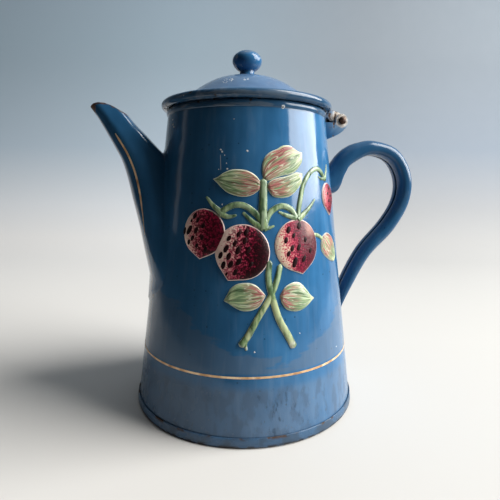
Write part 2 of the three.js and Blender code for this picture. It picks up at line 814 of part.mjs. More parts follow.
// Places along a leaf, from its base to its tip, where its half widths are given
const leafPlaceShares = [0, 0.08, 0.2, 0.35, 0.5, 0.65, 0.8, 0.9, 1];
const leafShares = {
  leaf_upper_left: {
    base: [-0.029, 0.8],
    tip: [-0.292, 0.836],
    left: [0.025, 0.05, 0.061, 0.06, 0.052, 0.031, 0.013],
    right: [0.036, 0.057, 0.067, 0.066, 0.058, 0.036, 0.014],
  },
  leaf_upper_right: {
    base: [-0.007, 0.8],
    tip: [0.215, 0.87],
    left: [0.018, 0.025, 0.023, 0.018, 0.017, 0.017, 0.01],
    right: [0.05, 0.068, 0.079, 0.081, 0.071, 0.054, 0.037],
  },
  leaf_upper_back: {
    base: [-0.022, 0.836],
    tip: [0.221, 0.972],
    left: [0.052, 0.087, 0.096, 0.09, 0.087, 0.064, 0.022],
    right: [0.019, 0.024, 0.034, 0.049, 0.056, 0.048, 0.034],
  },
  leaf_side: {
    base: [0.342, 0.545],
    tip: [0.48, 0.398],
    left: [0.043, 0.065, 0.079, 0.083, 0.077, 0.056, 0.034],
    right: [0.036, 0.055, 0.058, 0.053, 0.043, 0.028, 0.014],
  },
  leaf_lower_left: {
    base: [-0.016, 0.28],
    tip: [-0.212, 0.254],
    left: [0.021, 0.048, 0.06, 0.061, 0.052, 0.029, 0.012],
    right: [0.028, 0.058, 0.073, 0.077, 0.074, 0.056, 0.028],
  },
  leaf_lower_right: {
    base: [0.051, 0.275],
    tip: [0.25, 0.242],
    left: [0.039, 0.062, 0.075, 0.073, 0.054, 0.024, 0.01],
    right: [0.034, 0.06, 0.069, 0.068, 0.058, 0.033, 0.015],
  },
};
const sideStalkShares = { path: [[0.27, 0.562], [0.305, 0.557], [0.345, 0.535]], width: 0.02 };
const upperStemShares = [
  {
    path: [[-0.021, 0.838], [-0.023, 0.752], [-0.026, 0.675], [-0.021, 0.598]],
    width: 0.046,
    startShare: 0.8,
  },
  { path: [[-0.03, 0.63], [-0.06, 0.672], [-0.12, 0.711], [-0.18, 0.711], [-0.24, 0.678]], width: 0.03 },
  { path: [[-0.02, 0.605], [-0.069, 0.628], [-0.127, 0.68]], width: 0.042, endShare: 0.3 },
  { path: [[-0.02, 0.6], [0.005, 0.606], [0.032, 0.615]], width: 0.028, endShare: 0.3 },
  { path: [[-0.237, 0.675], [-0.281, 0.71], [-0.322, 0.752]], width: 0.036, endShare: 0.3 },
  { path: [[-0.24, 0.672], [-0.2, 0.657], [-0.158, 0.666]], width: 0.036, endShare: 0.3 },
  { path: [[-0.02, 0.615], [0.01, 0.677], [0.068, 0.709], [0.125, 0.694], [0.16, 0.645]], width: 0.03 },
  { path: [[0.158, 0.648], [0.1, 0.664], [0.055, 0.683]], width: 0.034, endShare: 0.3 },
  { path: [[0.165, 0.64], [0.237, 0.689], [0.302, 0.742]], width: 0.04, endShare: 0.25 },
  {
    path: [[0.165, 0.64], [0.185, 0.73], [0.22, 0.82], [0.287, 0.882], [0.36, 0.892], [0.43, 0.835]],
    width: 0.027,
  },
  { path: [[0.425, 0.84], [0.453, 0.879], [0.48, 0.925]], width: 0.032, endShare: 0.2 },
  { path: [[0.42, 0.855], [0.385, 0.845], [0.348, 0.857]], width: 0.026, endShare: 0.3 },
];
const lowerStemShares = [
  {
    path: [[0.006, 0.45], [-0.002, 0.36], [0.016, 0.265], [0.044, 0.165], [0.083, 0.085], [0.117, 0.014]],
    width: 0.036,
    endShare: 1.2,
  },
  {
    path: [[0.06, 0.43], [0.035, 0.34], [0.0, 0.265], [-0.05, 0.18], [-0.1, 0.085], [-0.133, 0.037]],
    width: 0.034,
    endShare: 1.15,
  },
];

// Each patch is cut back from those made before it, and the stems from them all
const reserved = [];

function reserve(solid, outline) {
  const cut = reserved.reduce((rest, other) => rest.subtract(other), solid);
  reserved.push(keepOut(outline));
  return mainPart(cut);
}

for (const [name, berry] of Object.entries(berryShares)) {
  const outline = berryOutline(berry);
  addPiece(name, geometryOf(reserve(domedPatch(outline, berryThickness), outline)), berryRed);
}
for (const [name, leaf] of Object.entries(leafShares)) {
  const outline = leafOutline(leaf);
  const blade = domedPatch(outline, leafThickness);
  const whole = name === 'leaf_side' ? blade.add(stemSolid(sideStalkShares)) : blade;
  addPiece(name, geometryOf(reserve(whole, outline)), leafGreen);
}

function stems(list) {
  const whole = joined(list.map(stemSolid));
  return geometryOf(mainPart(reserved.reduce((rest, other) => rest.subtract(other), whole)));
}

addPiece('stems_upper', stems(upperStemShares), stemGreen);
addPiece('stems_lower', stems(lowerStemShares), stemGreen);

export default model;
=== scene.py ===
import math

import bmesh
import bpy
from mathutils import Matrix, Vector


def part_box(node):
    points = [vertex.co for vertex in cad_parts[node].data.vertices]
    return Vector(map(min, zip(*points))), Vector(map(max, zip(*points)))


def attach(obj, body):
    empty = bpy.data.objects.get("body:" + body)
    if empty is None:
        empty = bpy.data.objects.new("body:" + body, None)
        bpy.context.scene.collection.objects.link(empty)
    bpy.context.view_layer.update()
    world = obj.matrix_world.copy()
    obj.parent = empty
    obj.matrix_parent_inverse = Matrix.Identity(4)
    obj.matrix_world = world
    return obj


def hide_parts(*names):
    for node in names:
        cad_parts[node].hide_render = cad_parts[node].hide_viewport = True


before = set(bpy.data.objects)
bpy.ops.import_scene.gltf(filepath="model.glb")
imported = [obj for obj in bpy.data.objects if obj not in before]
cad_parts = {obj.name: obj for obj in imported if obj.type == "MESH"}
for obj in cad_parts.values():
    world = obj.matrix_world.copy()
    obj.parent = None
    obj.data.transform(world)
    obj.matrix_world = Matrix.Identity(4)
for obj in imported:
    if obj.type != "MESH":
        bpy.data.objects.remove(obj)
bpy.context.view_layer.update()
scene = bpy.context.scene


# Base pan. The bottom is a disc of sheet steel, dipped in the same blue enamel as the wall.
# Its edge is turned up round the foot of the wall and closed over it, and rust has crept
# into the seam that this leaves.

pot_height = 0.2077
foot_radius = 0.0806
mouth_radius = 0.0552
floor_sheet = 0.0013
foot_band = 0.0065
foot_band_sheet = 0.0007
foot_corner = 0.0016
floor_lift = 0.0006
foot_ring_inside = 0.066
foot_ring = 0.073
sheet_gap = 0.0003


def wall_radius(height):
    return foot_radius + (mouth_radius - foot_radius) * height / pot_height


def bow(centre, radius, start, end, steps):
    """Points [radius, height] on an arc, from one angle to another in degrees."""
    turns = [math.radians(start + (end - start) * step / steps) for step in range(steps + 1)]
    return [(centre[0] + radius * math.cos(turn), centre[1] + radius * math.sin(turn)) for turn in turns]


def wire(tree, kind, inputs=None, **settings):
    """Adds a node, with a value or another node's socket for each input named."""
    added = tree.nodes.new(kind)
    for key, value in settings.items():
        setattr(added, key, value)
    for key, value in (inputs or {}).items():
        if isinstance(value, bpy.types.NodeSocket):
            tree.links.new(value, added.inputs[key])
        else:
            added.inputs[key].default_value = value
    return added


def new_recipe(name, *sizes, whole=()):
    """A Geometry Nodes tree that takes a blank mesh, whole numbers, sizes and a finish."""
    recipe = bpy.data.node_groups.new(name, "GeometryNodeTree")
    recipe.interface.new_socket("Blank", in_out="INPUT", socket_type="NodeSocketGeometry")
    for size in (*whole, *sizes):
        kind = "NodeSocketInt" if size in whole else "NodeSocketFloat"
        recipe.interface.new_socket(size, in_out="INPUT", socket_type=kind)
    recipe.interface.new_socket("Finish", in_out="INPUT", socket_type="NodeSocketMaterial")
    recipe.interface.new_socket("Finished", in_out="OUTPUT", socket_type="NodeSocketGeometry")
    return recipe, wire(recipe, "NodeGroupInput").outputs


def end_recipe(recipe, shape, finish):
    plain = wire(recipe, "GeometryNodeRealizeInstances", {"Geometry": shape})
    coated = wire(recipe, "GeometryNodeSetMaterial", {"Geometry": plain.outputs[0], "Material": finish})
    wire(recipe, "NodeGroupOutput", {"Finished": coated.outputs[0]})
    return recipe


def set_down(name, data):
    piece = bpy.data.objects.new(name, data)
    scene.collection.objects.link(piece)
    return piece


def smooth(mesh, crease):
    """Shades a mesh smooth, but for edges sharper than so many degrees."""
    mesh.shade_smooth()
    mesh.set_sharp_from_angle(angle=math.radians(crease))


def settle(piece):
    """Puts the result of a piece's modifiers in its mesh, and removes them."""
    bpy.context.view_layer.update()
    done = piece.evaluated_get(bpy.context.evaluated_depsgraph_get())
    plain = bpy.data.meshes.new_from_object(done)
    piece.modifiers.clear()
    piece.data = plain
    plain.name = piece.name
    return piece


def follow(recipe, name, blank, sizes):
    """Runs a tree over a blank mesh and returns the finished object, as a plain mesh."""
    piece = set_down(name, blank)
    step = piece.modifiers.new(recipe.name, "NODES")
    step.node_group = recipe
    for item in recipe.interface.items_tree:
        if item.in_out == "INPUT" and item.name in sizes:
            step[item.identifier] = sizes[item.name]
    return settle(piece)


weld = 0.000002


def close_up(mesh, crease=50):
    """Welds doubled points, turns the faces outward and smooths all but the sharp edges."""
    shape = bmesh.new()
    shape.from_mesh(mesh)
    bmesh.ops.remove_doubles(shape, verts=shape.verts, dist=weld)
    bmesh.ops.dissolve_degenerate(shape, edges=shape.edges, dist=weld)
    bmesh.ops.recalc_face_normals(shape, faces=shape.faces)
    shape.to_mesh(mesh)
    shape.free()
    smooth(mesh, crease)


spinning, given = new_recipe("turned sheet", "Spindle radius", whole=("Facets round",))
section = wire(spinning, "GeometryNodeMeshToCurve", {"Mesh": given["Blank"]})
spindle = wire(spinning, "GeometryNodeCurvePrimitiveCircle", {
    "Resolution": given["Facets round"],
    "Radius": given["Spindle radius"],
})
swept = wire(spinning, "GeometryNodeCurveToMesh", {
    "Curve": spindle.outputs["Curve"],
    "Profile Curve": section.outputs["Curve"],
})
end_recipe(spinning, swept.outputs["Mesh"], given["Finish"])


def turned(name, outline, finish, facets=128, crease=50):
    """Turns a closed outline of (radius, height) round the pot's axis."""
    spindle_radius = 0.01
    blank = bpy.data.meshes.new(name)
    points = [(radius - spindle_radius, -height, 0) for radius, height in outline]
    loop = [(i, (i + 1) % len(points)) for i in range(len(points))]
    blank.from_pydata(points, loop, [])
    piece = follow(spinning, name, blank, {
        "Facets round": facets,
        "Spindle radius": spindle_radius,
        "Finish": finish,
    })
    close_up(piece.data, crease)
    return piece


def noise(place, scale, detail):
    """Soft random values from 0 to 1, about 1/scale metres across; a scale for each axis stretches them."""
    if isinstance(scale, tuple):
        place = wire(place.id_data, "ShaderNodeMapping", {"Vector": place, "Scale": scale}).outputs[0]
        scale = 1
    inputs = {"Vector": place, "Scale": scale, "Detail": detail}
    return wire(place.id_data, "ShaderNodeTexNoise", inputs).outputs["Fac"]


def sum_up(operation, *values):
    """Chains one kind of sum over any number of values, one of them at least a socket."""
    tree = next(value.id_data for value in values if isinstance(value, bpy.types.NodeSocket))
    total = values[0]
    for value in values[1:]:
        total = wire(tree, "ShaderNodeMath", {0: total, 1: value}, operation=operation).outputs[0]
    return total


def product(*values):
    return sum_up("MULTIPLY", *values)


def add(*values):
    return sum_up("ADD", *values)


def less(value, other):
    return sum_up("SUBTRACT", value, other)


def wobble(place, scale, detail, reach):
    """Soft random values round zero, half the reach to each side."""
    return product(less(noise(place, scale, detail), 0.5), reach)


def between(value, low, high):
    """Rises smoothly from 0 to 1 as the value goes from low to high, either way round."""
    span = {"Value": value, "From Min": low, "From Max": high}
    return wire(value.id_data, "ShaderNodeMapRange", span, interpolation_type="SMOOTHSTEP").outputs[0]


def spread(value, low, high):
    """Brings a value from 0 to 1 to a place from low to high."""
    span = {"Value": value, "To Min": low, "To Max": high}
    return wire(value.id_data, "ShaderNodeMapRange", span).outputs[0]


def spots(place, scale, size, share):
    """Scattered spots: one to a cell of 1/scale metres, in a share of the cells."""
    cells = wire(place.id_data, "ShaderNodeTexVoronoi", {"Vector": place, "Scale": scale})
    lot = wire(place.id_data, "ShaderNodeSeparateColor", {"Color": cells.outputs["Color"]}).outputs[0]
    spot = between(cells.outputs["Distance"], size, size * 0.6)
    return product(spot, between(lot, 1 - share, 1 - share + 0.02))


def ramp(value, stops):
    """Colours along a value, from a list of (place, colour)."""
    scale = wire(value.id_data, "ShaderNodeValToRGB", {"Fac": value})
    points = scale.color_ramp.elements
    while len(points) < len(stops):
        points.new(1)
    for point, (place, colour) in zip(points, stops):
        point.position = place
        point.color = (*colour, 1)
    return scale.outputs["Color"]


def blended(tree, share, first, second):
    """One colour over another, by a share from 0 to 1."""
    mix = wire(tree, "ShaderNodeMix", {0: share}, data_type="RGBA")
    for index, colour in ((6, first), (7, second)):
        if isinstance(colour, bpy.types.NodeSocket):
            tree.links.new(colour, mix.inputs[index])
        else:
            mix.inputs[index].default_value = (*colour, 1)
    return mix.outputs[2]


def lay_over(coat, shares, colour=None, rough=None, lift=None):
    """Lays wear, dirt or paint over a coat, where the product of the shares is above 0."""
    tree = coat["tree"]
    share = product(*shares) if isinstance(shares, tuple) else shares
    if colour is not None:
        coat["colour"] = blended(tree, share, coat["colour"], colour)
    if rough is not None:
        mix = wire(tree, "ShaderNodeMix", {0: share, 2: coat["rough"], 3: rough})
        coat["rough"] = mix.outputs[0]
    if lift is not None:
        step = wire(tree, "ShaderNodeMath", {0: share, 1: lift, 2: coat["height"]}, operation="MULTIPLY_ADD")
        coat["height"] = step.outputs[0]


def cure(coat, **shine):
    """Joins a coat's colour, roughness and height to its shader."""
    tree = coat["tree"]
    shader = tree.nodes["Principled BSDF"]
    bump = wire(tree, "ShaderNodeBump", {"Height": coat["height"], "Distance": 0.001})
    tree.links.new(coat["colour"], shader.inputs["Base Color"])
    tree.links.new(coat["rough"], shader.inputs["Roughness"])
    tree.links.new(bump.outputs[0], shader.inputs["Normal"])
    for key, value in shine.items():
        shader.inputs[key.replace("_", " ")].default_value = value
    return coat["finish"]


def new_coat(name):
    finish = bpy.data.materials.new(name)
    finish.use_nodes = True
    tree = finish.node_tree
    place = wire(tree, "ShaderNodeTexCoord").outputs["Object"]
    axes = wire(tree, "ShaderNodeSeparateXYZ", {"Vector": place}).outputs
    return {"finish": finish, "tree": tree, "place": place, "x": axes[0], "y": axes[1], "z": axes[2]}


def blue_enamel(name):
    """Glossy deep blue enamel: cloudy, faintly streaked by draining, with fine orange peel."""
    coat = new_coat(name)
    place = coat["place"]
    cloud = product(noise(place, 28, 3), 0.65)
    drained = product(noise(place, (150, 150, 14), 3), 0.35)
    coat["colour"] = ramp(add(cloud, drained), [
        (0.30, (0.019, 0.095, 0.215)),
        (0.50, (0.032, 0.136, 0.292)),
        (0.70, (0.050, 0.182, 0.370)),
    ])
    coat["rough"] = spread(between(noise(place, (70, 70, 30), 4), 0.45, 0.75), 0.10, 0.19)
    peel = product(noise(place, 420, 2), 0.018)
    ripple = product(noise(place, 120, 3), 0.07)
    sags = product(noise(place, (60, 60, 38), 2), 0.32)
    dents = product(noise(place, 24, 2), 0.6)
    coat["height"] = add(peel, sags, dents, ripple)
    lay_over(coat, (spots(place, 300, 0.22, 0.10), 0.6), (0.006, 0.020, 0.045), 0.3, -0.03)
    coat["tree"].nodes["Principled BSDF"].inputs["Specular IOR Level"].default_value = 0.37
    return coat


rust = (0.055, 0.029, 0.017)
bare_iron = (0.016, 0.011, 0.010)

coat = blue_enamel("blue enamel, foot seam")
place = coat["place"]
lay_over(coat, 0.6, (0.062, 0.098, 0.150), 0.36)
scuffed = between(noise(place, 90, 4), 0.42, 0.62)
lay_over(coat, (scuffed, 0.6), (0.034, 0.052, 0.075), 0.42)
seam = between(coat["z"], foot_band - 0.0022, foot_band - 0.0002)
eaten = between(noise(place, 130, 5), 0.50, 0.60)
lay_over(coat, (seam, eaten), rust, 0.75, -0.15)
edge = between(coat["z"], 0.0028, 0.0006)
chipped = between(noise(place, 190, 4), 0.40, 0.52)
lay_over(coat, (edge, chipped), bare_iron, 0.65, -0.12)
foot_finish = cure(coat)


def band_outside(height):
    return wall_radius(height) + sheet_gap + foot_band_sheet


band_lip = foot_band_sheet / 2
base_pan = turned("base_pan_look", [
    (0, floor_lift),
    (foot_ring_inside, floor_lift),
    (foot_ring - 0.003, floor_lift / 3),
    (foot_ring, 0),
    *bow((band_outside(foot_corner) - foot_corner, foot_corner), foot_corner, -90, 0, 6),
    (band_outside(0.004), 0.004),
    (band_outside(foot_band - band_lip), foot_band - band_lip),
    *bow((band_outside(foot_band) - band_lip, foot_band - band_lip), band_lip, 20, 180, 6),
    (wall_radius(floor_sheet) + sheet_gap, floor_sheet),
    (0, floor_sheet),
], foot_finish, crease=60)
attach(base_pan, "pot")
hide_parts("base_pan")


# Pot wall. One sheet of steel rolled to a cone and welded, its top edge turned over a wire,
# and enamelled all over. Behind the spout it is pierced with rows of strainer holes.

pot_sheet = 0.0013
rim_band = 0.0043
rim_proud = 0.0010
rim_foot = pot_height - rim_band

coat = blue_enamel("blue enamel, wall")
tree, place, x, z = coat["tree"], coat["place"], coat["x"], coat["z"]
line_height = 0.0426
off_front = less(x, 0.005)
cloud_top = add(product(off_front, off_front, 9.0), line_height + 0.009)
above_cloud = less(add(z, wobble(place, (55, 55, 140), 5, 0.030)), cloud_top)
over_line = between(z, line_height + 0.001, line_height + 0.003)
lay_over(coat, (between(above_cloud, 0.0015, -0.0025), over_line, 0.42), (0.125, 0.165, 0.220), 0.32)
handled = between(z, line_height + 0.0010, line_height - 0.0004)
clean_strip = between(z, line_height - 0.0105, line_height - 0.0040)
haze = product(handled, less(1.0, clean_strip))
# The grey haze is laid thicker on the shaded left than on the lit right: painted light lifting the left's
# shade.
painted_lift_on_shaded_side = between(x, 0.045, -0.030)
lay_over(coat, (haze, add(product(painted_lift_on_shaded_side, 0.34), 0.16)), (0.115, 0.165, 0.240), 0.34)
rubbed = between(noise(place, 26, 4), 0.34, 0.62)
lay_over(coat, (haze, rubbed, 0.28), (0.155, 0.200, 0.265), 0.40)
mottled = between(noise(place, (190, 190, 90), 5), 0.47, 0.60)
lay_over(coat, (haze, mottled, 0.4), (0.050, 0.085, 0.140), 0.30, -0.02)
streaks = between(noise(place, (280, 280, 8), 3), 0.54, 0.68)
lay_over(coat, (streaks, 0.07), (0.260, 0.330, 0.400), 0.22)
# The blue is darker towards the spout side, at the left: painted shade.
lay_over(coat, (between(x, -0.006, -0.052), 0.5), (0.010, 0.052, 0.110))
pits = between(noise(place, (330, 330, 150), 5), 0.57, 0.64)
patches = product(between(noise(place, 45, 2), 0.44, 0.56), between(x, 0.06, -0.02))
lay_over(coat, (haze, pits, patches, 0.8), (0.022, 0.055, 0.105), 0.5, -0.05)
rim_zone = between(z, rim_foot - 0.0012, rim_foot + 0.0006)
lay_over(coat, (rim_zone, 0.6), (0.022, 0.050, 0.090), 0.16)
# Pale streaks round the rim: partly grazes, partly painted highlight.
grazes_and_glints = between(noise(place, (60, 60, 420), 4), 0.50, 0.62)
lay_over(coat, (rim_zone, grazes_and_glints, 0.5), (0.150, 0.190, 0.230), 0.35)
rim_knocks = between(noise(place, 170, 4), 0.60, 0.66)
lay_over(coat, (rim_zone, rim_knocks), bare_iron, 0.6, -0.12)
drops = [
    (-0.0268, -0.0523, 0.1781, 0.0006), (-0.0260, -0.0529, 0.1767, 0.0006),
    (-0.0246, -0.0539, 0.1748, 0.0004), (-0.0237, -0.0549, 0.1700, 0.0004),
    (-0.0233, -0.0555, 0.1667, 0.0006), (-0.0118, -0.0577, 0.1774, 0.0006),
    (-0.0282, -0.0533, 0.1664, 0.0004), (-0.0266, -0.0568, 0.1457, 0.0004),
    (-0.0189, -0.0534, 0.1958, 0.0004), (-0.0527, -0.0215, 0.1941, 0.0007),
    (-0.0532, -0.0183, 0.1990, 0.0005), (-0.0531, -0.0197, 0.1958, 0.0006),
    (0.0106, -0.0547, 0.2040, 0.0012), (0.0201, -0.0696, 0.0670, 0.0004),
    (-0.0092, -0.0729, 0.0583, 0.0004),
]


def size_of(value):
    """A value without its sign."""
    return sum_up("ABSOLUTE", value, 0.0)


def distance(place, centre):
    away = wire(place.id_data, "ShaderNodeVectorMath", {0: place, 1: centre}, operation="DISTANCE")
    return away.outputs["Value"]


def dabs(place, marks):
    """One where a mark is, zero elsewhere, for marks given as x, y, z and radius."""
    masks = [between(distance(place, mark[:3]), mark[3] * 1.2, mark[3] * 0.7) for mark in marks]
    return sum_up("MAXIMUM", *masks)


tear = 0.0012
tatter = wire(tree, "ShaderNodeTexNoise", {"Vector": place, "Scale": 900.0, "Detail": 2.0}).outputs["Color"]
torn = wire(tree, "ShaderNodeVectorMath", {0: tatter, 3: tear}, operation="SCALE").outputs[0]
torn_place = wire(tree, "ShaderNodeVectorMath", {0: place, 1: torn}, operation="ADD").outputs[0]
shifted = [(*(value + tear / 2 for value in drop[:3]), drop[3]) for drop in drops]
lay_over(coat, dabs(torn_place, shifted), (0.66, 0.68, 0.68), 0.35, 0.12)
lay_over(coat, dabs(torn_place, [(0.0110, -0.0541, 0.2044, 0.0006)]), bare_iron, 0.6, -0.2)
run_width = between(size_of(less(x, -0.0270)), 0.00035, 0.00010)
run_length = product(between(z, 0.1655, 0.1668), between(z, 0.1755, 0.1742))
near_side = between(coat["y"], 0.0, -0.01)
lay_over(coat, (run_width, run_length, near_side, 0.55), (0.50, 0.54, 0.56), 0.3, 0.05)
squat_place = wire(tree, "ShaderNodeMapping", {"Vector": torn_place, "Scale": (1, 1, 0.35)}).outputs[0]
nose_patch = between(distance(squat_place, (-0.0690, -0.0145, 0.0337)), 0.0068, 0.0026)
lay_over(coat, (nose_patch, 0.8), (0.300, 0.255, 0.195), 0.3)
burnt_ring = product(between(nose_patch, 0.02, 0.22), between(nose_patch, 0.60, 0.34))
lay_over(coat, (burnt_ring, between(noise(place, 180, 3), 0.42, 0.54), 0.75), (0.034, 0.020, 0.012), 0.4)
lay_over(coat, spots(place, 95, 0.06, 0.06), (0.55, 0.58, 0.60), 0.35, 0.05)
from_axis = sum_up("POWER", add(product(x, x), product(coat["y"], coat["y"])), 0.5)
slant = product(z, (foot_radius - mouth_radius) / pot_height)
inside = between(add(from_axis, slant), foot_radius - 0.0008, foot_radius - 0.0012)
below_rim = between(z, rim_foot + 0.001, rim_foot - 0.001)
stain = ramp(noise(place, 40, 4), [(0.35, (0.30, 0.34, 0.38)), (0.7, (0.46, 0.50, 0.53))])
lay_over(coat, (inside, below_rim), stain, 0.25)
wall_finish = cure(coat)

wall_foot = floor_sheet + sheet_gap
wall_steps = 20
rim_steps = 14
outline = [(wall_radius(wall_foot) - pot_sheet, wall_foot)]
for step in range(wall_steps):
    height = wall_foot + (rim_foot - 0.0008 - wall_foot) * step / (wall_steps - 1)
    outline.append((wall_radius(height), height))
for step in range(rim_steps + 1):
    share = step / rim_steps
    height = rim_foot + rim_band * share
    bulge = rim_proud * math.sin(math.pi * share * 0.9) ** 0.7 if share else 0
    outline.append((wall_radius(height) + bulge, height))
outline += [
    (mouth_radius - 0.0004, pot_height),
    (mouth_radius - pot_sheet + 0.0003, pot_height - 0.00015),
    (mouth_radius - pot_sheet, pot_height - 0.0006),
    (wall_radius(rim_foot) - pot_sheet, rim_foot),
]
for step in range(1, wall_steps):
    height = rim_foot + (wall_foot - rim_foot) * step / wall_steps
    outline.append((wall_radius(height) - pot_sheet, height))
wall = turned("body_wall", outline, wall_finish, facets=160)

piercing, given = new_recipe("strainer holes", "Hole radius", "Pitch", "Lowest row", "Wall distance")


def punch_rows(across, up, rows_below):
    """A grid of punches, pointing through the wall behind the spout."""
    grid = wire(piercing, "GeometryNodeMeshGrid", {
        "Size X": product(given["Pitch"], across - 1.0),
        "Size Y": product(given["Pitch"], 2.0 * (up - 1)),
        "Vertices X": across,
        "Vertices Y": up,
    })
    place = wire(piercing, "ShaderNodeCombineXYZ", {
        "X": product(given["Wall distance"], -1.0),
        "Z": add(product(given["Pitch"], rows_below + up - 1.0), given["Lowest row"]),
    }).outputs[0]
    stood = wire(piercing, "GeometryNodeTransform", {
        "Geometry": grid.outputs["Mesh"],
        "Translation": place,
        "Rotation": (math.pi / 2, 0, math.pi / 2),
    })
    punch = wire(piercing, "GeometryNodeMeshCylinder", {
        "Vertices": 24,
        "Radius": given["Hole radius"],
        "Depth": 0.05,
    })
    set_out = wire(piercing, "GeometryNodeInstanceOnPoints", {
        "Points": stood.outputs[0],
        "Instance": punch.outputs["Mesh"],
        "Rotation": (0, math.pi / 2, 0),
    })
    return wire(piercing, "GeometryNodeRealizeInstances", {"Geometry": set_out.outputs[0]}).outputs[0]


punches = wire(piercing, "GeometryNodeJoinGeometry")
piercing.links.new(punch_rows(3, 3, 0.0), punches.inputs[0])
piercing.links.new(punch_rows(2, 2, 1.0), punches.inputs[0])
pierced = wire(piercing, "GeometryNodeMeshBoolean", {
    "Mesh 1": given["Blank"],
    "Mesh 2": punches.outputs[0],
}, operation="DIFFERENCE", solver="EXACT")
end_recipe(piercing, pierced.outputs["Mesh"], given["Finish"])

blank = wall.data
bpy.data.objects.remove(wall)
strainer_foot = 0.098
wall = follow(piercing, "body_wall", blank, {
    "Hole radius": 0.0025,
    "Pitch": 0.011,
    "Lowest row": strainer_foot,
    "Wall distance": wall_radius(strainer_foot),
    "Finish": wall_finish,
})
smooth(wall.data, 40)
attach(wall, "pot")
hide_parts("body_shell")


# Spout. One folded sheet of steel, open at the lip, with a narrow flange round its root that
# lies on the wall; the enamel fills the corner. The tip and the lip's edge are worn brown.

spout_reach = 0.051
spout_foot = 0.076
spout_rise = pot_height + 0.0022 - spout_foot
spout_half_width = 0.031
spout_sheet = 0.0008
spout_fillet = 0.0016
spout_section_shares = [
    (0.004, -0.01, -0.49, -0.01, 0.15),
    (0.01, 0.03, -0.5, 0.03, 0.58),
    (0.018, 0.075, -0.5, 0.075, 0.84),
    (0.026, 0.125, -0.5, 0.125, 0.96),
    (0.075, 0.193, -0.5, 0.193, 1.0),
    (0.135, 0.268, -0.45, 0.27, 0.96),
    (0.238, 0.4, -0.42, 0.41, 0.88),
    (0.358, 0.534, -0.35, 0.56, 0.74),
    (0.455, 0.646, -0.2, 0.68, 0.63),
    (0.54, 0.724, -0.06, 0.742, 0.55),
    (0.617, 0.774, 0.06, 0.784, 0.49),
    (0.719, 0.834, 0.26, 0.856, 0.42),
    (0.82, 0.893, 0.405, 0.905, 0.35),
    (0.9, 0.937, 0.53, 0.955, 0.3),
    (0.965, 0.967, 0.636, 1.001, 0.25),
    (1.02, 0.993, 0.8, 1.04, 0.19),
    (1.08, 1.02, 0.93, 1.07, 0.13),
]
lip_shares = [
    (0.42, 1.2), (0.49, 0.944), (0.616, 0.965), (0.716, 0.985), (0.817, 0.998),
    (0.896, 1.0), (0.959, 0.993), (1.01, 0.978), (1.1, 0.94),
]


def smooth_row(rows, share):
    """The row at a share of the way through a table, on a smooth curve through its rows."""
    along = min(max(share, 0), 1) * (len(rows) - 1)
    index = min(int(along), len(rows) - 2)
    part = along - index
    near = [rows[min(max(index + step, 0), len(rows) - 1)] for step in (-1, 0, 1, 2)]
    result = []
    for before, start, end, after in zip(*near):
        leave, arrive = (end - before) / 2, (after - start) / 2
        result.append((2 * start - 2 * end + leave + arrive) * part ** 3
            + (3 * end - 3 * start - 2 * leave - arrive) * part ** 2 + leave * part + start)
    return result


def spout_edge(reach_share, rise_share):
    height = spout_foot + spout_rise * rise_share
    return Vector((-wall_radius(height) - spout_reach * reach_share, 0, height))


def spout_point(along, across, side):
    """A point on the spout: along from root to tip, across from its front edge to its back."""
    row = smooth_row(spout_section_shares, along)
    point = spout_edge(row[0], row[1]).lerp(spout_edge(row[2], row[3]), across)
    fullness = math.sin(math.pi * min(across, 1) ** 0.75) ** 0.65 if 0 < across < 1 else 0
    if across > 0.4:
        upright = min(max((along - 0.4) / 0.25, 0), 1)
        fullness += (1 - fullness) * upright * (1 - across ** 14)
    point.y = side * spout_half_width * row[4] * fullness
    return point


def off_wall(point):
    """How far a point stands out of the wall."""
    return math.hypot(point.x, point.y) - wall_radius(point.z)


def over_lip(point):
    """How far a point is above the lip's line, as a share of the spout's rise."""
    reach = (-point.x - wall_radius(point.z)) / spout_reach
    rise = (point.z - spout_foot) / spout_rise
    if reach <= lip_shares[0][0]:
        return rise - lip_shares[0][1]
    for (x0, z0), (x1, z1) in zip(lip_shares, lip_shares[1:]):
        if reach <= x1:
            return rise - (z0 + (z1 - z0) * (reach - x0) / (x1 - x0))
    return 1


def first_crossing(test, start, end, steps=240):
    """The first place from start to end where the test turns positive."""
    low = start
    for step in range(1, steps + 1):
        high = start + (end - start) * step / steps
        if test(high) > 0:
            for _ in range(20):
                middle = (low + high) / 2
                low, high = (low, middle) if test(middle) > 0 else (middle, high)
            return high
        low = high
    return end


def on_wall(point, lift):
    """The same height and direction, at a distance from the wall's face."""
    around = Vector((point.x, point.y, 0)).normalized() * (wall_radius(point.z) + lift)
    return Vector((around.x, around.y, point.z))


def laid_flange(roots, closed, widths_and_lifts, middle):
    """Rows of points on the wall round a root, each at a distance from it and a lift."""
    rows = []
    count = len(roots)
    for width, lift in widths_and_lifts:
        row = []
        for index, root in enumerate(roots):
            after = roots[(index + 1) % count] if closed else roots[min(index + 1, count - 1)]
            before = roots[index - 1] if closed else roots[max(index - 1, 0)]
            out = Vector((root.x, root.y, 0)).normalized()
            away = (after - before).cross(out).normalized()
            if away.dot(root - middle) < 0:
                away.negate()
            row.append(on_wall(root + away * width, lift))
        rows.append(row)
    return rows


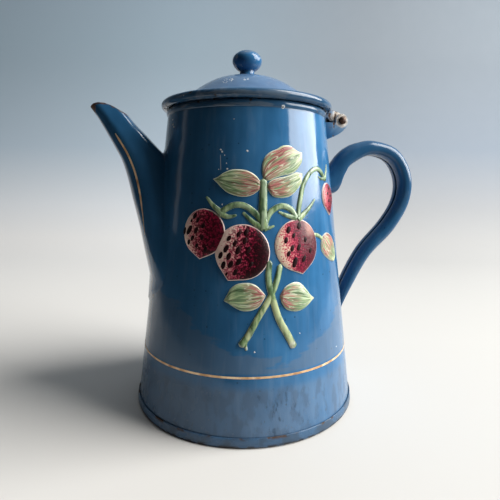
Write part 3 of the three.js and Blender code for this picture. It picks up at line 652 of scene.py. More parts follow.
def net(name, rows, closed, way_out=None):
    """A mesh skin over rows of points, with its place on the rows as UV. Its faces look away
    from the middle of each row, or along way_out where the rows don't wrap round anything."""
    shape = bpy.data.meshes.new(name)
    count = len(rows[0])
    faces = []
    uvs = []
    for row in range(len(rows) - 1):
        for column in range(count if closed else count - 1):
            after = (column + 1) % count
            corner = [(row, column), (row, column + 1), (row + 1, column + 1), (row + 1, column)]
            faces.append([row * count + column, row * count + after,
                (row + 1) * count + after, (row + 1) * count + column])
            uvs += [(c / (count if closed else count - 1), r / (len(rows) - 1)) for r, c in corner]
    shape.from_pydata([point for row in rows for point in row], [], faces)
    layer = shape.uv_layers.new(name="lay")
    for loop, uv in zip(layer.data, uvs):
        loop.uv = uv
    middles = [sum(row, Vector()) / count for row in rows]
    outward = sum(face.normal.dot(way_out or face.center - middles[face.vertices[0] // count]) * face.area
        for face in shape.polygons)
    if outward < 0:
        shape.flip_normals()
    return shape


def merge_points(shape, distance):
    """Welds the points of a mesh that are closer than a distance."""
    body = bmesh.new()
    body.from_mesh(shape)
    bmesh.ops.remove_doubles(body, verts=body.verts, dist=distance)
    body.to_mesh(shape)
    body.free()


def round_edges(piece, width, degrees, crease):
    """Bevels the edges that are sharper than so many degrees, and smooths the rest."""
    step = piece.modifiers.new("edge", "BEVEL")
    step.width = width
    step.segments = 2
    step.limit_method = "ANGLE"
    step.angle_limit = math.radians(degrees)
    smooth(settle(piece).data, crease)
    return piece


def thicken(name, shape, sheet, finish, edge):
    """Turns a skin into a sheet of metal, thickened inward, with rounded edges."""
    merge_points(shape, 0.00001)
    piece = set_down(name, shape)
    shape.materials.append(finish)
    step = piece.modifiers.new("sheet", "SOLIDIFY")
    step.thickness = sheet
    step.offset = -1
    step.use_even_offset = False
    return round_edges(piece, edge, 60, 50)


spout_columns = 26
spout_rows = 60
places = [(1 - math.cos(math.pi * step / spout_columns)) / 2 for step in range(spout_columns + 1)]
columns = [(across, 1) for across in places] + [(across, -1) for across in reversed(places[1:-1])]
roots, fillets, lips = [], [], []
for across, side in columns:
    root = first_crossing(lambda along: off_wall(spout_point(along, across, side)) - sheet_gap, 0, 0.95)
    roots.append(spout_point(root, across, side))
    fillets.append(first_crossing(
        lambda along: off_wall(spout_point(along, across, side)) - spout_fillet, root, 0.97))
    lips.append(first_crossing(lambda along: over_lip(spout_point(along, across, side)), 0.6, 1))
flange_middle = Vector((-wall_radius(0.12), 0, 0.125))
root_fillet = [(0.0036, -0.0002), (0.0029, 0.00003), (0.0020, 0.00024), (0.0011, 0.0005), (0.0003, 0.0009)]
rows = laid_flange(roots, True, root_fillet, flange_middle)
for step in range(spout_rows + 1):
    share = step / spout_rows
    rows.append([spout_point(fillet + (lip - fillet) * share, across, side)
        for (across, side), fillet, lip in zip(columns, fillets, lips)])

coat = blue_enamel("blue enamel, spout")
tree, place, x = coat["tree"], coat["place"], coat["x"]
lay_over(coat, 0.5, (0.010, 0.050, 0.105), 0.16)
lip_left, lip_right, lip_low, lip_high = -0.110, -0.070, 0.190, 0.220
across_lip = wire(tree, "ShaderNodeMapRange", {"Value": x, "From Min": lip_left, "From Max": lip_right})
lip_line = wire(tree, "ShaderNodeFloatCurve", {"Value": across_lip.outputs[0]})
curve = lip_line.mapping.curves[0]
lip_places = [spout_edge(*shares) for shares in reversed(lip_shares[1:])]
while len(curve.points) < len(lip_places):
    curve.points.new(0.5, 0.5)
for point, lip_place in zip(curve.points, lip_places):
    share_across = (lip_place.x - lip_left) / (lip_right - lip_left)
    point.location = (share_across, (lip_place.z - lip_low) / (lip_high - lip_low))
lip_line.mapping.update()
under_lip = less(spread(lip_line.outputs[0], lip_low, lip_high), coat["z"])
rough_edge = add(under_lip, wobble(place, 260, 4, 0.0035))
worn_lip = product(between(rough_edge, 0.0017, 0.0006), between(x, -0.0655, -0.074))
worn_tip = between(add(x, wobble(place, 330, 4, 0.006)), -0.1020, -0.1035)
# A grey band along the spout's front edge: partly rubbed wear, partly painted reflection.
front_edge = between(size_of(coat["y"]), 0.0048, 0.0014)
rubbed = between(noise(place, (160, 160, 70), 4), 0.44, 0.56)
lay_over(coat, (front_edge, rubbed, 0.6), (0.050, 0.046, 0.044), 0.45)
browned = ramp(noise(place, 380, 3), [(0.40, bare_iron), (0.60, (0.105, 0.050, 0.028))])
lay_over(coat, (worn_lip, 0.9), browned, 0.5, -0.06)
lay_over(coat, worn_tip, (0.120, 0.058, 0.034), 0.55, -0.10)
pale_fleck = (0.55, 0.57, 0.58)
lay_over(coat, spots(place, 110, 0.07, 0.06), pale_fleck, 0.35, 0.04)
spout_finish = cure(coat)

spout = thicken("spout_look", net("spout_look", rows, True), spout_sheet, spout_finish, 0.00022)
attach(spout, "pot")
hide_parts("spout")


# Handle. A strip of steel folded round until its edges nearly meet along the inner side, bent
# to an ear and fixed to the wall at both ends under the enamel.

handle_reach = 0.07247
handle_foot = 0.046
handle_rise = pot_height - 0.0154 - handle_foot
handle_half_width = 0.009
handle_sheet = 0.0012
handle_seam = 0.0016
handle_top_fillet = 0.0009
handle_end_fillet = 0.0007
handle_ring_shares = [
    (-0.085, 0.718, -0.087, 0.82, 1.05),
    (0.033, 0.719, 0.006, 0.836, 1.05),
    (0.095, 0.725, 0.094, 0.883, 1.03),
    (0.138, 0.745, 0.181, 0.93, 1.02),
    (0.185, 0.8, 0.279, 0.964, 1.0),
    (0.276, 0.862, 0.395, 0.986, 1.0),
    (0.521, 0.92, 0.583, 0.999, 1.0),
    (0.739, 0.893, 0.854, 0.956, 1.0),
    (0.84, 0.803, 0.997, 0.826, 1.0),
    (0.81, 0.696, 0.952, 0.674, 1.0),
    (0.648, 0.58, 0.747, 0.523, 1.0),
    (0.34, 0.425, 0.432, 0.381, 1.0),
    (0.097, 0.24, 0.192, 0.212, 0.97),
    (-0.002, 0.112, 0.048, 0.097, 0.85),
    (-0.06, 0.06, 0.0, 0.035, 0.66),
    (-0.12, 0.02, -0.06, 0.0, 0.45),
]


def handle_edge(reach_share, rise_share):
    height = handle_foot + handle_rise * rise_share
    return Vector((wall_radius(height) + handle_reach * reach_share, 0, height))


def handle_point(along, turn):
    """A point on the handle: along from its upper root, turned round its section."""
    row = smooth_row(handle_ring_shares, along)
    inner, outer = handle_edge(row[0], row[1]), handle_edge(row[2], row[3])
    depth = -math.cos(turn)
    depth = -abs(depth) ** 0.6 if depth < 0 else depth
    point = inner.lerp(outer, 0.5 + depth / 2)
    swing = math.sin(turn)
    point.y = handle_half_width * row[4] * math.copysign(abs(swing) ** 0.85, swing)
    return point


handle_columns = 40
handle_rows = 110
seam_turn = handle_seam / 2 / handle_half_width
open_turn = 2 * math.pi - 2 * seam_turn
turns = [seam_turn + open_turn * step / handle_columns for step in range(handle_columns + 1)]
tops, ends = [], []
for turn in turns:
    top = first_crossing(lambda along: off_wall(handle_point(along, turn)) - handle_top_fillet, 0.0, 0.5)
    rest = first_crossing(lambda back: off_wall(handle_point(1 - back, turn)) - handle_end_fillet, 0.0, 0.5)
    tops.append(top)
    ends.append(1 - rest)
top_roots = [handle_point(top - 0.004, turn) for top, turn in zip(tops, turns)]
end_roots = [handle_point(end + 0.003, turn) for end, turn in zip(ends, turns)]
top_middle = sum(top_roots, Vector()) / len(top_roots)
end_middle = sum(end_roots, Vector()) / len(end_roots)
rows = laid_flange(top_roots, False, [(0.0014, 0.00005), (0.0007, 0.0003)], top_middle)
for step in range(handle_rows + 1):
    share = step / handle_rows
    rows.append([handle_point(top + (end - top) * share, turn) for top, end, turn in zip(tops, ends, turns)])
rows += laid_flange(end_roots, False, [(0.0005, 0.0003), (0.0012, 0.00005)], end_middle)

coat = blue_enamel("blue enamel, handle")
place = coat["place"]
lay_over(coat, 0.55, (0.009, 0.044, 0.095), 0.27)
polish = between(noise(place, 55, 4), 0.55, 0.72)
lay_over(coat, (polish, 0.3), (0.060, 0.110, 0.170), 0.34)
lay_over(coat, spots(place, 120, 0.09, 0.10), bare_iron, 0.55, -0.08)
lay_over(coat, spots(place, 85, 0.06, 0.10), pale_fleck, 0.35, 0.04)
handle_finish = cure(coat)

handle = thicken("handle_look", net("handle_look", rows, False), handle_sheet, handle_finish, 0.0003)
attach(handle, "pot")
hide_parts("handle")


# Hinge. A folded bracket with two cheeks stands out of the wall above the handle, the lid's
# leaf turns between them, and a riveted iron pin runs through all three.


def eased_copy(name, node, finish, edge):
    """A welded copy of a solid from the frame, with its edges rounded."""
    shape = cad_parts[node].data.copy()
    merge_points(shape, weld)
    body = bmesh.new()
    body.from_mesh(shape)
    bmesh.ops.dissolve_limit(body, angle_limit=math.radians(1), verts=body.verts, edges=body.edges)
    body.to_mesh(shape)
    body.free()
    shape.materials.clear()
    shape.materials.append(finish)
    return round_edges(set_down(name, shape), edge, 35, 35)


pin_out, pin_down = 0.0148, 0.0027
pin_x, pin_z = mouth_radius + pin_out, pot_height - pin_down


def worn_enamel(name, near, far, bareness, eaten):
    """Blue enamel rubbed through to its beige ground coat round the pin, and here and there to iron, with
    painted sheen on the blue near the pin.
    """
    coat = blue_enamel(name)
    place = coat["place"]
    off_x, off_z = less(coat["x"], pin_x), less(coat["z"], pin_z)
    from_pin = sum_up("POWER", add(sum_up("POWER", off_x, 2.0), sum_up("POWER", off_z, 2.0)), 0.5)
    ragged = add(from_pin, wobble(place, 260, 4, 0.0032))
    # Lighter blue-grey round the pin: painted sheen.
    lay_over(coat, (between(from_pin, 0.016, 0.004), 0.55), (0.230, 0.330, 0.430), 0.3)
    beige = [(0.30, (0.34, 0.25, 0.18)), (0.46, (0.50, 0.43, 0.35)), (0.70, (0.80, 0.77, 0.72))]
    ground = ramp(noise(place, 330, 4), beige)
    lay_over(coat, (between(ragged, far, near), 0.92), ground, 0.42, -0.04)
    rub = noise(place, 210, 4)
    lay_over(coat, between(rub, 0.64 - bareness, 0.70 - bareness), ground, 0.45, -0.04)
    deep = noise(place, 320, 5)
    lay_over(coat, between(deep, 0.62 - eaten, 0.68 - eaten), (0.090, 0.045, 0.026), 0.65, -0.10)
    return cure(coat)


def mottled_coat(name, tones, stops, wear, roughness, grain, relief):
    """A coat of three noises, each by scale and detail: in its tone, its roughness and its relief."""
    coat = new_coat(name)
    place = coat["place"]
    coat["colour"] = ramp(noise(place, *tones), stops)
    coat["rough"] = spread(noise(place, *wear), *roughness)
    coat["height"] = product(noise(place, *grain), relief)
    return coat


coat = mottled_coat("browned iron", (420, 5), [
    (0.35, (0.012, 0.008, 0.007)),
    (0.55, (0.050, 0.024, 0.014)),
    (0.75, (0.120, 0.055, 0.030)),
], (500, 3), (0.25, 0.6), (600, 4), 0.12)
pin_finish = cure(coat, Metallic=0.6)

bracket_finish = worn_enamel("worn enamel, bracket", 0.0038, 0.0058, -0.02, 0)
bracket = eased_copy("hinge_bracket_look", "hinge_bracket", bracket_finish, 0.00035)
pin = eased_copy("hinge_pin_look", "hinge_pin", pin_finish, 0.0003)
for piece, node, finish in ((bracket, "hinge_bracket", "pale_enamel"), (pin, "hinge_pin", "worn_iron")):
    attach(piece, "pot")
    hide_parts(node)
leaf_finish = worn_enamel("worn enamel, leaf", 0.0060, 0.0120, 0.14, 0.09)
leaf = eased_copy("hinge_leaf_look", "hinge_leaf", leaf_finish, 0.0004)
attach(leaf, "lid")
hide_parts("hinge_leaf")


# Lid. A domed disc of sheet steel with its edge rolled to a thick bead, enamelled like the
# pot, and a plain band fixed under it that drops into the mouth.

lid_radius = mouth_radius + 0.0047
bead_radius = 0.0028
bead_centre = (lid_radius - bead_radius, pot_height + sheet_gap + bead_radius)
slope_height = bead_centre[1] + bead_radius - 0.0006
slope_radius = lid_radius - 2 * bead_radius
lid_sheet = 0.0012
dome_rise = 0.0196
dome_radius = 0.0496
rivet_hole = 0.0023


def dome_height(radius):
    share = min(radius / dome_radius, 1)
    return slope_height + dome_rise * (1 - share ** 2.73) ** 1.44


coat = blue_enamel("blue enamel, lid")
place, z = coat["place"], coat["z"]
bead_zone = between(z, slope_height + 0.0008, slope_height - 0.0006)
lay_over(coat, (bead_zone, 0.65), (0.020, 0.048, 0.088), 0.14)
# Pale streaks round the bead: partly grazes, partly painted highlight.
grazes_and_glints = between(noise(place, (45, 45, 500), 4), 0.50, 0.62)
lay_over(coat, (bead_zone, grazes_and_glints, 0.45), (0.170, 0.205, 0.235), 0.35)
knocked = between(noise(place, 150, 4), 0.63, 0.67)
lay_over(coat, (bead_zone, knocked), bare_iron, 0.6, -0.12)
# The dome is paled above the bead, and more in patches: partly dust, partly painted sheen.
lay_over(coat, (between(z, slope_height, slope_height + 0.004), 0.30), (0.230, 0.260, 0.350), 0.2)
dust_and_sheen = between(noise(place, (120, 120, 120), 4), 0.56, 0.74)
lay_over(coat, (dust_and_sheen, 0.30), (0.26, 0.30, 0.37), 0.3)
spatter = dabs(place, [(-0.0184, -0.0288, 0.2235, 0.0042), (-0.0075, -0.0320, 0.2232, 0.0025)])
lay_over(coat, (spatter, between(noise(place, 750, 2), 0.58, 0.62)), (0.76, 0.79, 0.82), 0.3, 0.05)
lay_over(coat, spots(place, 130, 0.075, 0.14), (0.66, 0.70, 0.72), 0.3, 0.05)
lid_finish = cure(coat)

dome_steps = 30
shares = [math.sin(math.pi / 2 * step / dome_steps) for step in range(dome_steps + 1)]
radii = [rivet_hole + (dome_radius - rivet_hole) * share for share in shares]
radii += [(dome_radius + slope_radius) / 2, slope_radius]
start = 180 - math.degrees(math.asin((slope_height - lid_sheet - bead_centre[1]) / bead_radius))
end = 540 - math.degrees(math.asin((slope_height - bead_centre[1]) / bead_radius))
lid = turned("lid_dome", [
    *((radius, dome_height(radius) - lid_sheet) for radius in radii),
    *bow(bead_centre, bead_radius, start, end, 26),
    *((radius, dome_height(radius)) for radius in reversed(radii)),
], lid_finish, facets=160)
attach(lid, "lid")
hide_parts("lid_shell")

collar = eased_copy("lid_collar_look", "lid_collar", lid_finish, 0.0002)
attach(collar, "lid")
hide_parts("lid_collar")


# Knob. A hollow pressed ball on a flared foot, enamelled blue, held by a rivet through the
# lid with a washer under it.

knob_radius = 0.0104
knob_neck = 0.0052
knob_foot = 0.0066
knob_upper = 0.0070
knob_lower = 0.0081
knob_base = dome_height(rivet_hole) + 0.0001
knob_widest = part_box("lid_knob")[1].z - knob_upper
neck_rise = knob_lower * math.sqrt(1 - (knob_neck / knob_radius) ** 2)

coat = blue_enamel("blue enamel, knob")
place, z = coat["place"], coat["z"]
crown = between(noise(place, 260, 4), 0.60, 0.70)
lay_over(coat, (crown, 0.6), (0.30, 0.36, 0.42), 0.3)
# The upper half of the knob is paler and rougher: real dulling, with painted sheen in its paler colour.
dulled_and_sheen = between(noise(place, (90, 90, 200), 4), 0.48, 0.60)
upper_half = between(z, knob_widest - 0.001, knob_widest + 0.004)
lay_over(coat, (dulled_and_sheen, upper_half, 0.45), (0.150, 0.180, 0.205), 0.32)
near_neck = between(z, knob_base + 0.005, knob_base + 0.002)
chipped = between(noise(place, 320, 4), 0.50, 0.58)
lay_over(coat, (near_neck, chipped, 0.5), bare_iron, 0.6, -0.08)
knob_finish = cure(coat)

ball_steps = 28
low_turn = -math.asin(neck_rise / knob_lower)
ball = []
for step in range(ball_steps):
    turn = low_turn + (math.pi / 2 - low_turn) * step / ball_steps
    half = knob_lower if turn < 0 else knob_upper
    ball.append((knob_radius * math.cos(turn), knob_widest + half * math.sin(turn)))
socket_height = knob_base + 0.0078
knob = turned("knob_ball", [
    (rivet_hole, knob_base),
    (knob_foot - 0.0003, knob_base),
    (knob_foot, knob_base + 0.0003),
    (knob_foot - 0.0005, knob_base + 0.0008),
    (knob_neck + 0.0003, knob_base + 0.0016),
    (knob_neck - 0.0001, (knob_base + 0.0016 + ball[0][1]) / 2),
    *ball,
    (0, knob_widest + knob_upper),
    (0, socket_height),
    (rivet_hole, socket_height),
], knob_finish, facets=64)
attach(knob, "lid")
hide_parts("lid_knob")

coat = mottled_coat("zinced steel", (350, 4), [
    (0.35, (0.22, 0.22, 0.22)),
    (0.7, (0.42, 0.42, 0.41)),
], (500, 3), (0.3, 0.55), (700, 3), 0.05)
zinc = cure(coat, Metallic=0.85)
for node in ("knob_rivet", "knob_washer"):
    fixing = eased_copy(node + "_look", node, zinc, 0.0002)
    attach(fixing, "lid")
    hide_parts(node)


# Gold lines. Thin lines of liquid gold, fired on: one right round the pot near its foot, and
# one along each side of the spout, where it is rubbed away towards the root.

coat = mottled_coat("fired gold", (160, 4), [
    (0.32, (0.46, 0.230, 0.095)),
    (0.46, (0.74, 0.450, 0.220)),
    (0.64, (0.95, 0.700, 0.430)),
], (260, 3), (0.22, 0.45), (500, 3), 0.03)
gold = cure(coat, Metallic=0.12)

lining, given = new_recipe("painted line", "Line width", "Paint depth")
path = wire(lining, "GeometryNodeMeshToCurve", {"Mesh": given["Blank"]})
brush = wire(lining, "GeometryNodeCurvePrimitiveQuadrilateral", {
    "Width": given["Paint depth"],
    "Height": given["Line width"],
})
stroke = wire(lining, "GeometryNodeCurveToMesh", {
    "Curve": path.outputs["Curve"],
    "Profile Curve": brush.outputs["Curve"],
})
end_recipe(lining, stroke.outputs["Mesh"], given["Finish"])

ring_points = 192
ring_radius = wall_radius(line_height) + 0.00004
ring_width, ring_depth = 0.0013, 0.0002
ring_turns = [2 * math.pi * step / ring_points for step in range(ring_points)]
blank = bpy.data.meshes.new("gold_ring")
blank.from_pydata(
    [(ring_radius * math.cos(turn), ring_radius * math.sin(turn), line_height) for turn in ring_turns],
    [(step, (step + 1) % ring_points) for step in range(ring_points)], [])
gold_ring = follow(lining, "gold_ring", blank, {
    "Line width": ring_width,
    "Paint depth": ring_depth,
    "Finish": gold,
})
close_up(gold_ring.data)
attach(gold_ring, "pot")

line_shares = [
    (0.700, 0.223), (0.640, 0.210), (0.565, 0.193), (0.510, 0.185),
    (0.475, 0.178), (0.440, 0.163), (0.400, 0.130), (0.355, 0.085),
]
line_steps = 70
line_half_width = 0.00085
line_lift = 0.00007
line_depth = 0.00005
for side, name in ((1, "gold_line_back"), (-1, "gold_line_front")):
    rows = []
    for step in range(line_steps + 1):
        share = step / line_steps
        along, across = smooth_row(line_shares, share)
        here = spout_point(along, across, side)
        beside = (spout_point(along, across + 0.01, side) - here) / 0.01
        ahead = spout_point(along - 0.004, across, side) - here
        out = ahead.cross(beside).normalized()
        if out.y * side < 0:
            out.negate()
        taper = min(1, share * 9 + 0.25, (1 - share) * 3.5 + 0.12)
        nib = line_half_width * taper / beside.length
        rows.append([spout_point(along, across + nib * part, side) + out * line_lift
            for part in (-1, -0.4, 0.4, 1)])
    line = thicken(name, net(name, rows, False, Vector((0, side, 0))), line_depth, gold, 0.00001)
    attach(line, "pot")


# Sprig and its stems. Stems, leaves and berries are thick enamel colours, laid on the wall by hand
# and fired. A stem is one stroke, flattened on the wall, with a painted highlight along its crown and pale
# edges that are partly painted highlight.

sprig_foot = 0.057
sprig_height = 0.124
sprig_radius = wall_radius(sprig_foot + sprig_height / 2)


def sprig_point(x, z, lift):
    """A point over the wall's front, from shares of the sprig's height."""
    height = sprig_foot + sprig_height * z
    around = sprig_height * x / sprig_radius
    radius = wall_radius(height) + lift
    return Vector((radius * math.sin(around), -radius * math.cos(around), height))


stem_paths = {
    "stems_upper": [
        ([(-0.021, 0.838), (-0.023, 0.752), (-0.026, 0.675), (-0.021, 0.598)], 0.044, 0.8, 1.1),
        ([(-0.03, 0.63), (-0.06, 0.672), (-0.12, 0.711), (-0.18, 0.711), (-0.24, 0.678)], 0.03, 1, 1),
        ([(-0.02, 0.605), (-0.069, 0.628), (-0.127, 0.68)], 0.040, 1, 0.3),
        ([(-0.02, 0.6), (0.005, 0.606), (0.032, 0.615)], 0.028, 1, 0.3),
        ([(-0.237, 0.675), (-0.281, 0.71), (-0.322, 0.752)], 0.034, 1, 0.3),
        ([(-0.24, 0.672), (-0.2, 0.657), (-0.158, 0.666)], 0.034, 1, 0.3),
        ([(-0.02, 0.615), (0.01, 0.677), (0.068, 0.709), (0.125, 0.694), (0.16, 0.645)], 0.03, 1, 1),
        ([(0.158, 0.648), (0.1, 0.664), (0.055, 0.683)], 0.032, 1, 0.3),
        ([(0.165, 0.64), (0.237, 0.689), (0.302, 0.742)], 0.038, 1, 0.25),
        ([(0.165, 0.64), (0.185, 0.73), (0.22, 0.82), (0.287, 0.882), (0.36, 0.892), (0.43, 0.835)],
            0.027, 1, 1),
        ([(0.425, 0.84), (0.453, 0.879), (0.48, 0.925)], 0.030, 1, 0.2),
        ([(0.42, 0.855), (0.385, 0.845), (0.348, 0.857)], 0.024, 1, 0.3),
    ],
    "stems_lower": [
        ([(0.06, 0.43), (0.035, 0.34), (0.0, 0.265), (-0.05, 0.18), (-0.1, 0.085), (-0.133, 0.037)],
            0.029, 1, 1.2),
        ([(0.006, 0.45), (-0.002, 0.36), (0.016, 0.265), (0.044, 0.165), (0.083, 0.085), (0.117, 0.014)],
            0.030, 1, 1.3),
        ([(-0.102, 0.080), (-0.108, 0.048), (-0.104, 0.018)], 0.020, 1, 0.5),
    ],
}
side_stalk = ([(0.27, 0.562), (0.305, 0.557), (0.345, 0.535)], 0.02, 1, 1)

coat = mottled_coat("stem green", ((330, 330, 70), 4), [
    (0.34, (0.045, 0.095, 0.048)),
    (0.47, (0.105, 0.185, 0.085)),
    (0.58, (0.200, 0.300, 0.135)),
    (0.68, (0.430, 0.520, 0.270)),
], (300, 2), (0.2, 0.36), (420, 3), 0.16)
place, z = coat["place"], coat["z"]
crown = wire(coat["tree"], "ShaderNodeAttribute", attribute_name="crown").outputs["Fac"]
drag = noise(place, (230, 230, 80), 4)
hollow = product(between(crown, 0.10, 0.18), between(crown, 0.42, 0.28), between(drag, 0.58, 0.44))
lay_over(coat, (hollow, 0.6), (0.050, 0.105, 0.062))
# A painted highlight along the stem's crown.
painted_crown_highlight = product(between(crown, 0.36, 0.48), between(drag, 0.42, 0.56))
lay_over(coat, (painted_crown_highlight, 0.5), (0.52, 0.66, 0.44), 0.2)
low_down = between(z, 0.102, 0.088)
lay_over(coat, (low_down, between(drag, 0.40, 0.56), 0.6), (0.50, 0.53, 0.28))
stem_end = product(between(z, 0.0650, 0.0605), between(noise(place, 260, 3), 0.36, 0.56))
lay_over(coat, (stem_end, 0.7), (0.74, 0.74, 0.66), 0.25)
# Pale edges: partly pale enamel, partly painted highlight.
pale_edge_and_glint = product(between(crown, 0.15, 0.06), between(noise(place, 120, 3), 0.38, 0.52))
lay_over(coat, (pale_edge_and_glint, 0.85), (0.72, 0.78, 0.68))
stem_finish = cure(coat)


def stored(recipe, name, kind="FLOAT_VECTOR"):
    """A value that the blank mesh has at each of its points."""
    value = wire(recipe, "GeometryNodeInputNamedAttribute", {"Name": name}, data_type=kind)
    return value.outputs["Attribute"]


piping, given = new_recipe("laid stems", "Thickness share")
paths = wire(piping, "GeometryNodeMeshToCurve", {"Mesh": given["Blank"]})
squared = wire(piping, "GeometryNodeSetCurveNormal", {
    "Curve": paths.outputs["Curve"],
    "Normal": stored(piping, "facing"),
}, mode="FREE")
girth = stored(piping, "girth", "FLOAT")
sized = wire(piping, "GeometryNodeSetCurveRadius", {
    "Curve": squared.outputs["Curve"],
    "Radius": girth,
})
nozzle = wire(piping, "GeometryNodeCurvePrimitiveCircle", {"Resolution": 16, "Radius": 1.0})
pressed = wire(piping, "ShaderNodeCombineXYZ", {"X": given["Thickness share"], "Y": 1.0, "Z": 1.0})
flattened = wire(piping, "GeometryNodeTransform", {
    "Geometry": nozzle.outputs["Curve"],
    "Scale": pressed.outputs[0],
})
height_in_section = wire(piping, "GeometryNodeInputPosition")
level = wire(piping, "ShaderNodeSeparateXYZ", {"Vector": height_in_section.outputs[0]})
marked = wire(piping, "GeometryNodeStoreNamedAttribute", {
    "Geometry": flattened.outputs[0],
    "Name": "crown",
    "Value": level.outputs["X"],
}, data_type="FLOAT", domain="POINT")
squeezed_out = wire(piping, "GeometryNodeCurveToMesh", {
    "Curve": sized.outputs["Curve"],
    "Profile Curve": marked.outputs["Geometry"],
    "Scale": girth,
    "Fill Caps": True,
})
end_recipe(piping, squeezed_out.outputs["Mesh"], given["Finish"])


def note(mesh, name, kind, values):
    """Stores a value at each point of a mesh."""
    layer = mesh.attributes.new(name, kind, "POINT")
    if kind == "FLOAT":
        layer.data.foreach_set("value", values)
    else:
        layer.data.foreach_set("vector", [value for vector in values for value in vector])


def piped(name, stems):
    """Stems piped on the wall, each from a path, a width and its share of it at either end."""
    points, joins, facings, girths = [], [], [], []
    steps = 26
    laid_at = 0.0001
    least_tip = 0.3
    for path, width, start_share, end_share in stems:
        first = len(points)
        for step in range(steps + 1):
            share = step / steps
            x, z = smooth_row(path, share)
            size = start_share + (end_share - start_share) * share
            rounding = min(share, 1 - share) * 24
            tip = math.sqrt(max(1 - (rounding - 1) ** 2, least_tip ** 2)) if rounding < 1 else 1
            point = sprig_point(x, z, laid_at)
            points.append(point)
            facings.append(Vector((point.x, point.y, 0)).normalized())
            girths.append(width * sprig_height / 2 * size * tip)
            if step:
                joins.append((first + step - 1, first + step))
    blank = bpy.data.meshes.new(name)
    blank.from_pydata(points, joins, [])
    note(blank, "facing", "FLOAT_VECTOR", facings)
    note(blank, "girth", "FLOAT", girths)
    piece = follow(piping, name, blank, {"Thickness share": 0.55, "Finish": stem_finish})
    close_up(piece.data, crease=60)
    return piece


for name, stems in stem_paths.items():
    piece = piped(name + "_look", stems)
    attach(piece, "pot")
    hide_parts(name)


# Leaves. Six patches of thick green enamel, brushed with pink brown from the stalk while wet, so
# that each has shallow ridges and a pale rim where it thins out, partly painted highlight. One hangs on a
# stalk of its own.

leaf_places = (0, 0.08, 0.2, 0.35, 0.5, 0.65, 0.8, 0.9, 1)
leaf_shares = {
    "leaf_upper_back": ((-0.022, 0.836), (0.221, 0.972), 0.0009,
        (0.052, 0.087, 0.096, 0.09, 0.087, 0.064, 0.022), (0.019, 0.024, 0.034, 0.049, 0.056, 0.048, 0.034),
        1.02, 0.85),
    "leaf_upper_left": ((-0.029, 0.8), (-0.292, 0.836), 0.0011,
        (0.025, 0.05, 0.061, 0.06, 0.052, 0.031, 0.013), (0.036, 0.057, 0.067, 0.066, 0.058, 0.036, 0.014),
        0.52, 0),
    "leaf_upper_right": ((-0.007, 0.8), (0.215, 0.87), 0.0012,
        (0.018, 0.025, 0.023, 0.018, 0.017, 0.017, 0.01), (0.05, 0.068, 0.079, 0.081, 0.071, 0.054, 0.037),
        0.52, 0),
    "leaf_side": ((0.342, 0.545), (0.48, 0.398), 0.0012,
        (0.043, 0.065, 0.079, 0.083, 0.077, 0.056, 0.034), (0.036, 0.055, 0.058, 0.053, 0.043, 0.028, 0.014),
        0.60, 0),
    "leaf_lower_left": ((-0.016, 0.28), (-0.212, 0.254), 0.0012,
        (0.021, 0.048, 0.06, 0.061, 0.052, 0.029, 0.012), (0.028, 0.058, 0.073, 0.077, 0.074, 0.056, 0.028),
        0.45, 0),
    "leaf_lower_right": ((0.051, 0.275), (0.25, 0.242), 0.0012,
        (0.039, 0.062, 0.075, 0.073, 0.054, 0.024, 0.01), (0.034, 0.06, 0.069, 0.068, 0.058, 0.033, 0.015),
        0.45, 0),
}


def pale_rim_and_glint(coat, low, high, colour):
    """A thin broken pale rim, by the distance in from the patch's outline: partly pale enamel, partly
    painted highlight.
    """
    inset = wire(coat["tree"], "ShaderNodeAttribute", attribute_name="inset").outputs["Fac"]
    rim = between(add(inset, wobble(coat["place"], 240, 3, 0.0008)), high, low)
    gaps = between(noise(coat["place"], 95, 2), 0.30, 0.44)
    lay_over(coat, (rim, gaps, 0.92), colour, 0.28)


def surface_coat(name, shift_across, shift_along):
    """A coat with a patch's own two directions, and a shifted place on it, so no two are alike."""
    coat = new_coat(name)
    lay = wire(coat["tree"], "ShaderNodeUVMap", uv_map="lay").outputs[0]
    shift = (shift_across, shift_along, 0)
    moved = wire(coat["tree"], "ShaderNodeMapping", {"Vector": lay, "Location": shift}).outputs[0]
    across, along = wire(coat["tree"], "ShaderNodeSeparateXYZ", {"Vector": lay}).outputs[:2]
    return coat, moved, across, along


def leaf_colour(name, pink, lopsided, shift):
    """Green brush strokes, yellowed at the tip, with pink brown from the stalk to the share given."""
    coat, moved, across, along = surface_coat(name, shift, shift * 2)
    stroke = noise(moved, (13, 2.2, 1), 5)
    coat["colour"] = ramp(stroke, [
        (0.35, (0.070, 0.120, 0.060)),
        (0.44, (0.150, 0.245, 0.120)),
        (0.53, (0.225, 0.340, 0.175)),
        (0.66, (0.500, 0.590, 0.330)),
    ])
    coat["rough"] = spread(stroke, 0.22, 0.38)
    coat["height"] = product(stroke, 0.45)
    yellowed = product(between(along, 0.62, 0.86), between(noise(moved, (4, 3, 1), 3), 0.40, 0.60))
    lay_over(coat, (yellowed, 0.75), (0.80, 0.82, 0.46), 0.3)
    blush = noise(moved, (15.6, 2.21, 1.3), 5)
    far = add(along, product(less(blush, 0.5), 1.4), product(less(1.0, across), lopsided))
    near_stalk = between(far, pink + 0.14, pink - 0.16)
    flushed = ramp(blush, [
        (0.42, (0.560, 0.250, 0.200)),
        (0.52, (0.400, 0.105, 0.110)),
        (0.62, (0.210, 0.050, 0.055)),
    ])
    lay_over(coat, (near_stalk, between(blush, 0.43, 0.49), 0.95), flushed)
    hair = size_of(less(noise(moved, (8, 1.3, 1), 2), 0.5))
    lay_over(coat, (between(hair, 0.022, 0.006), 0.8), (0.66, 0.70, 0.52), 0.3)
    pale_rim_and_glint(coat, 0.0003, 0.0009, (0.66, 0.70, 0.54))
    return cure(coat)


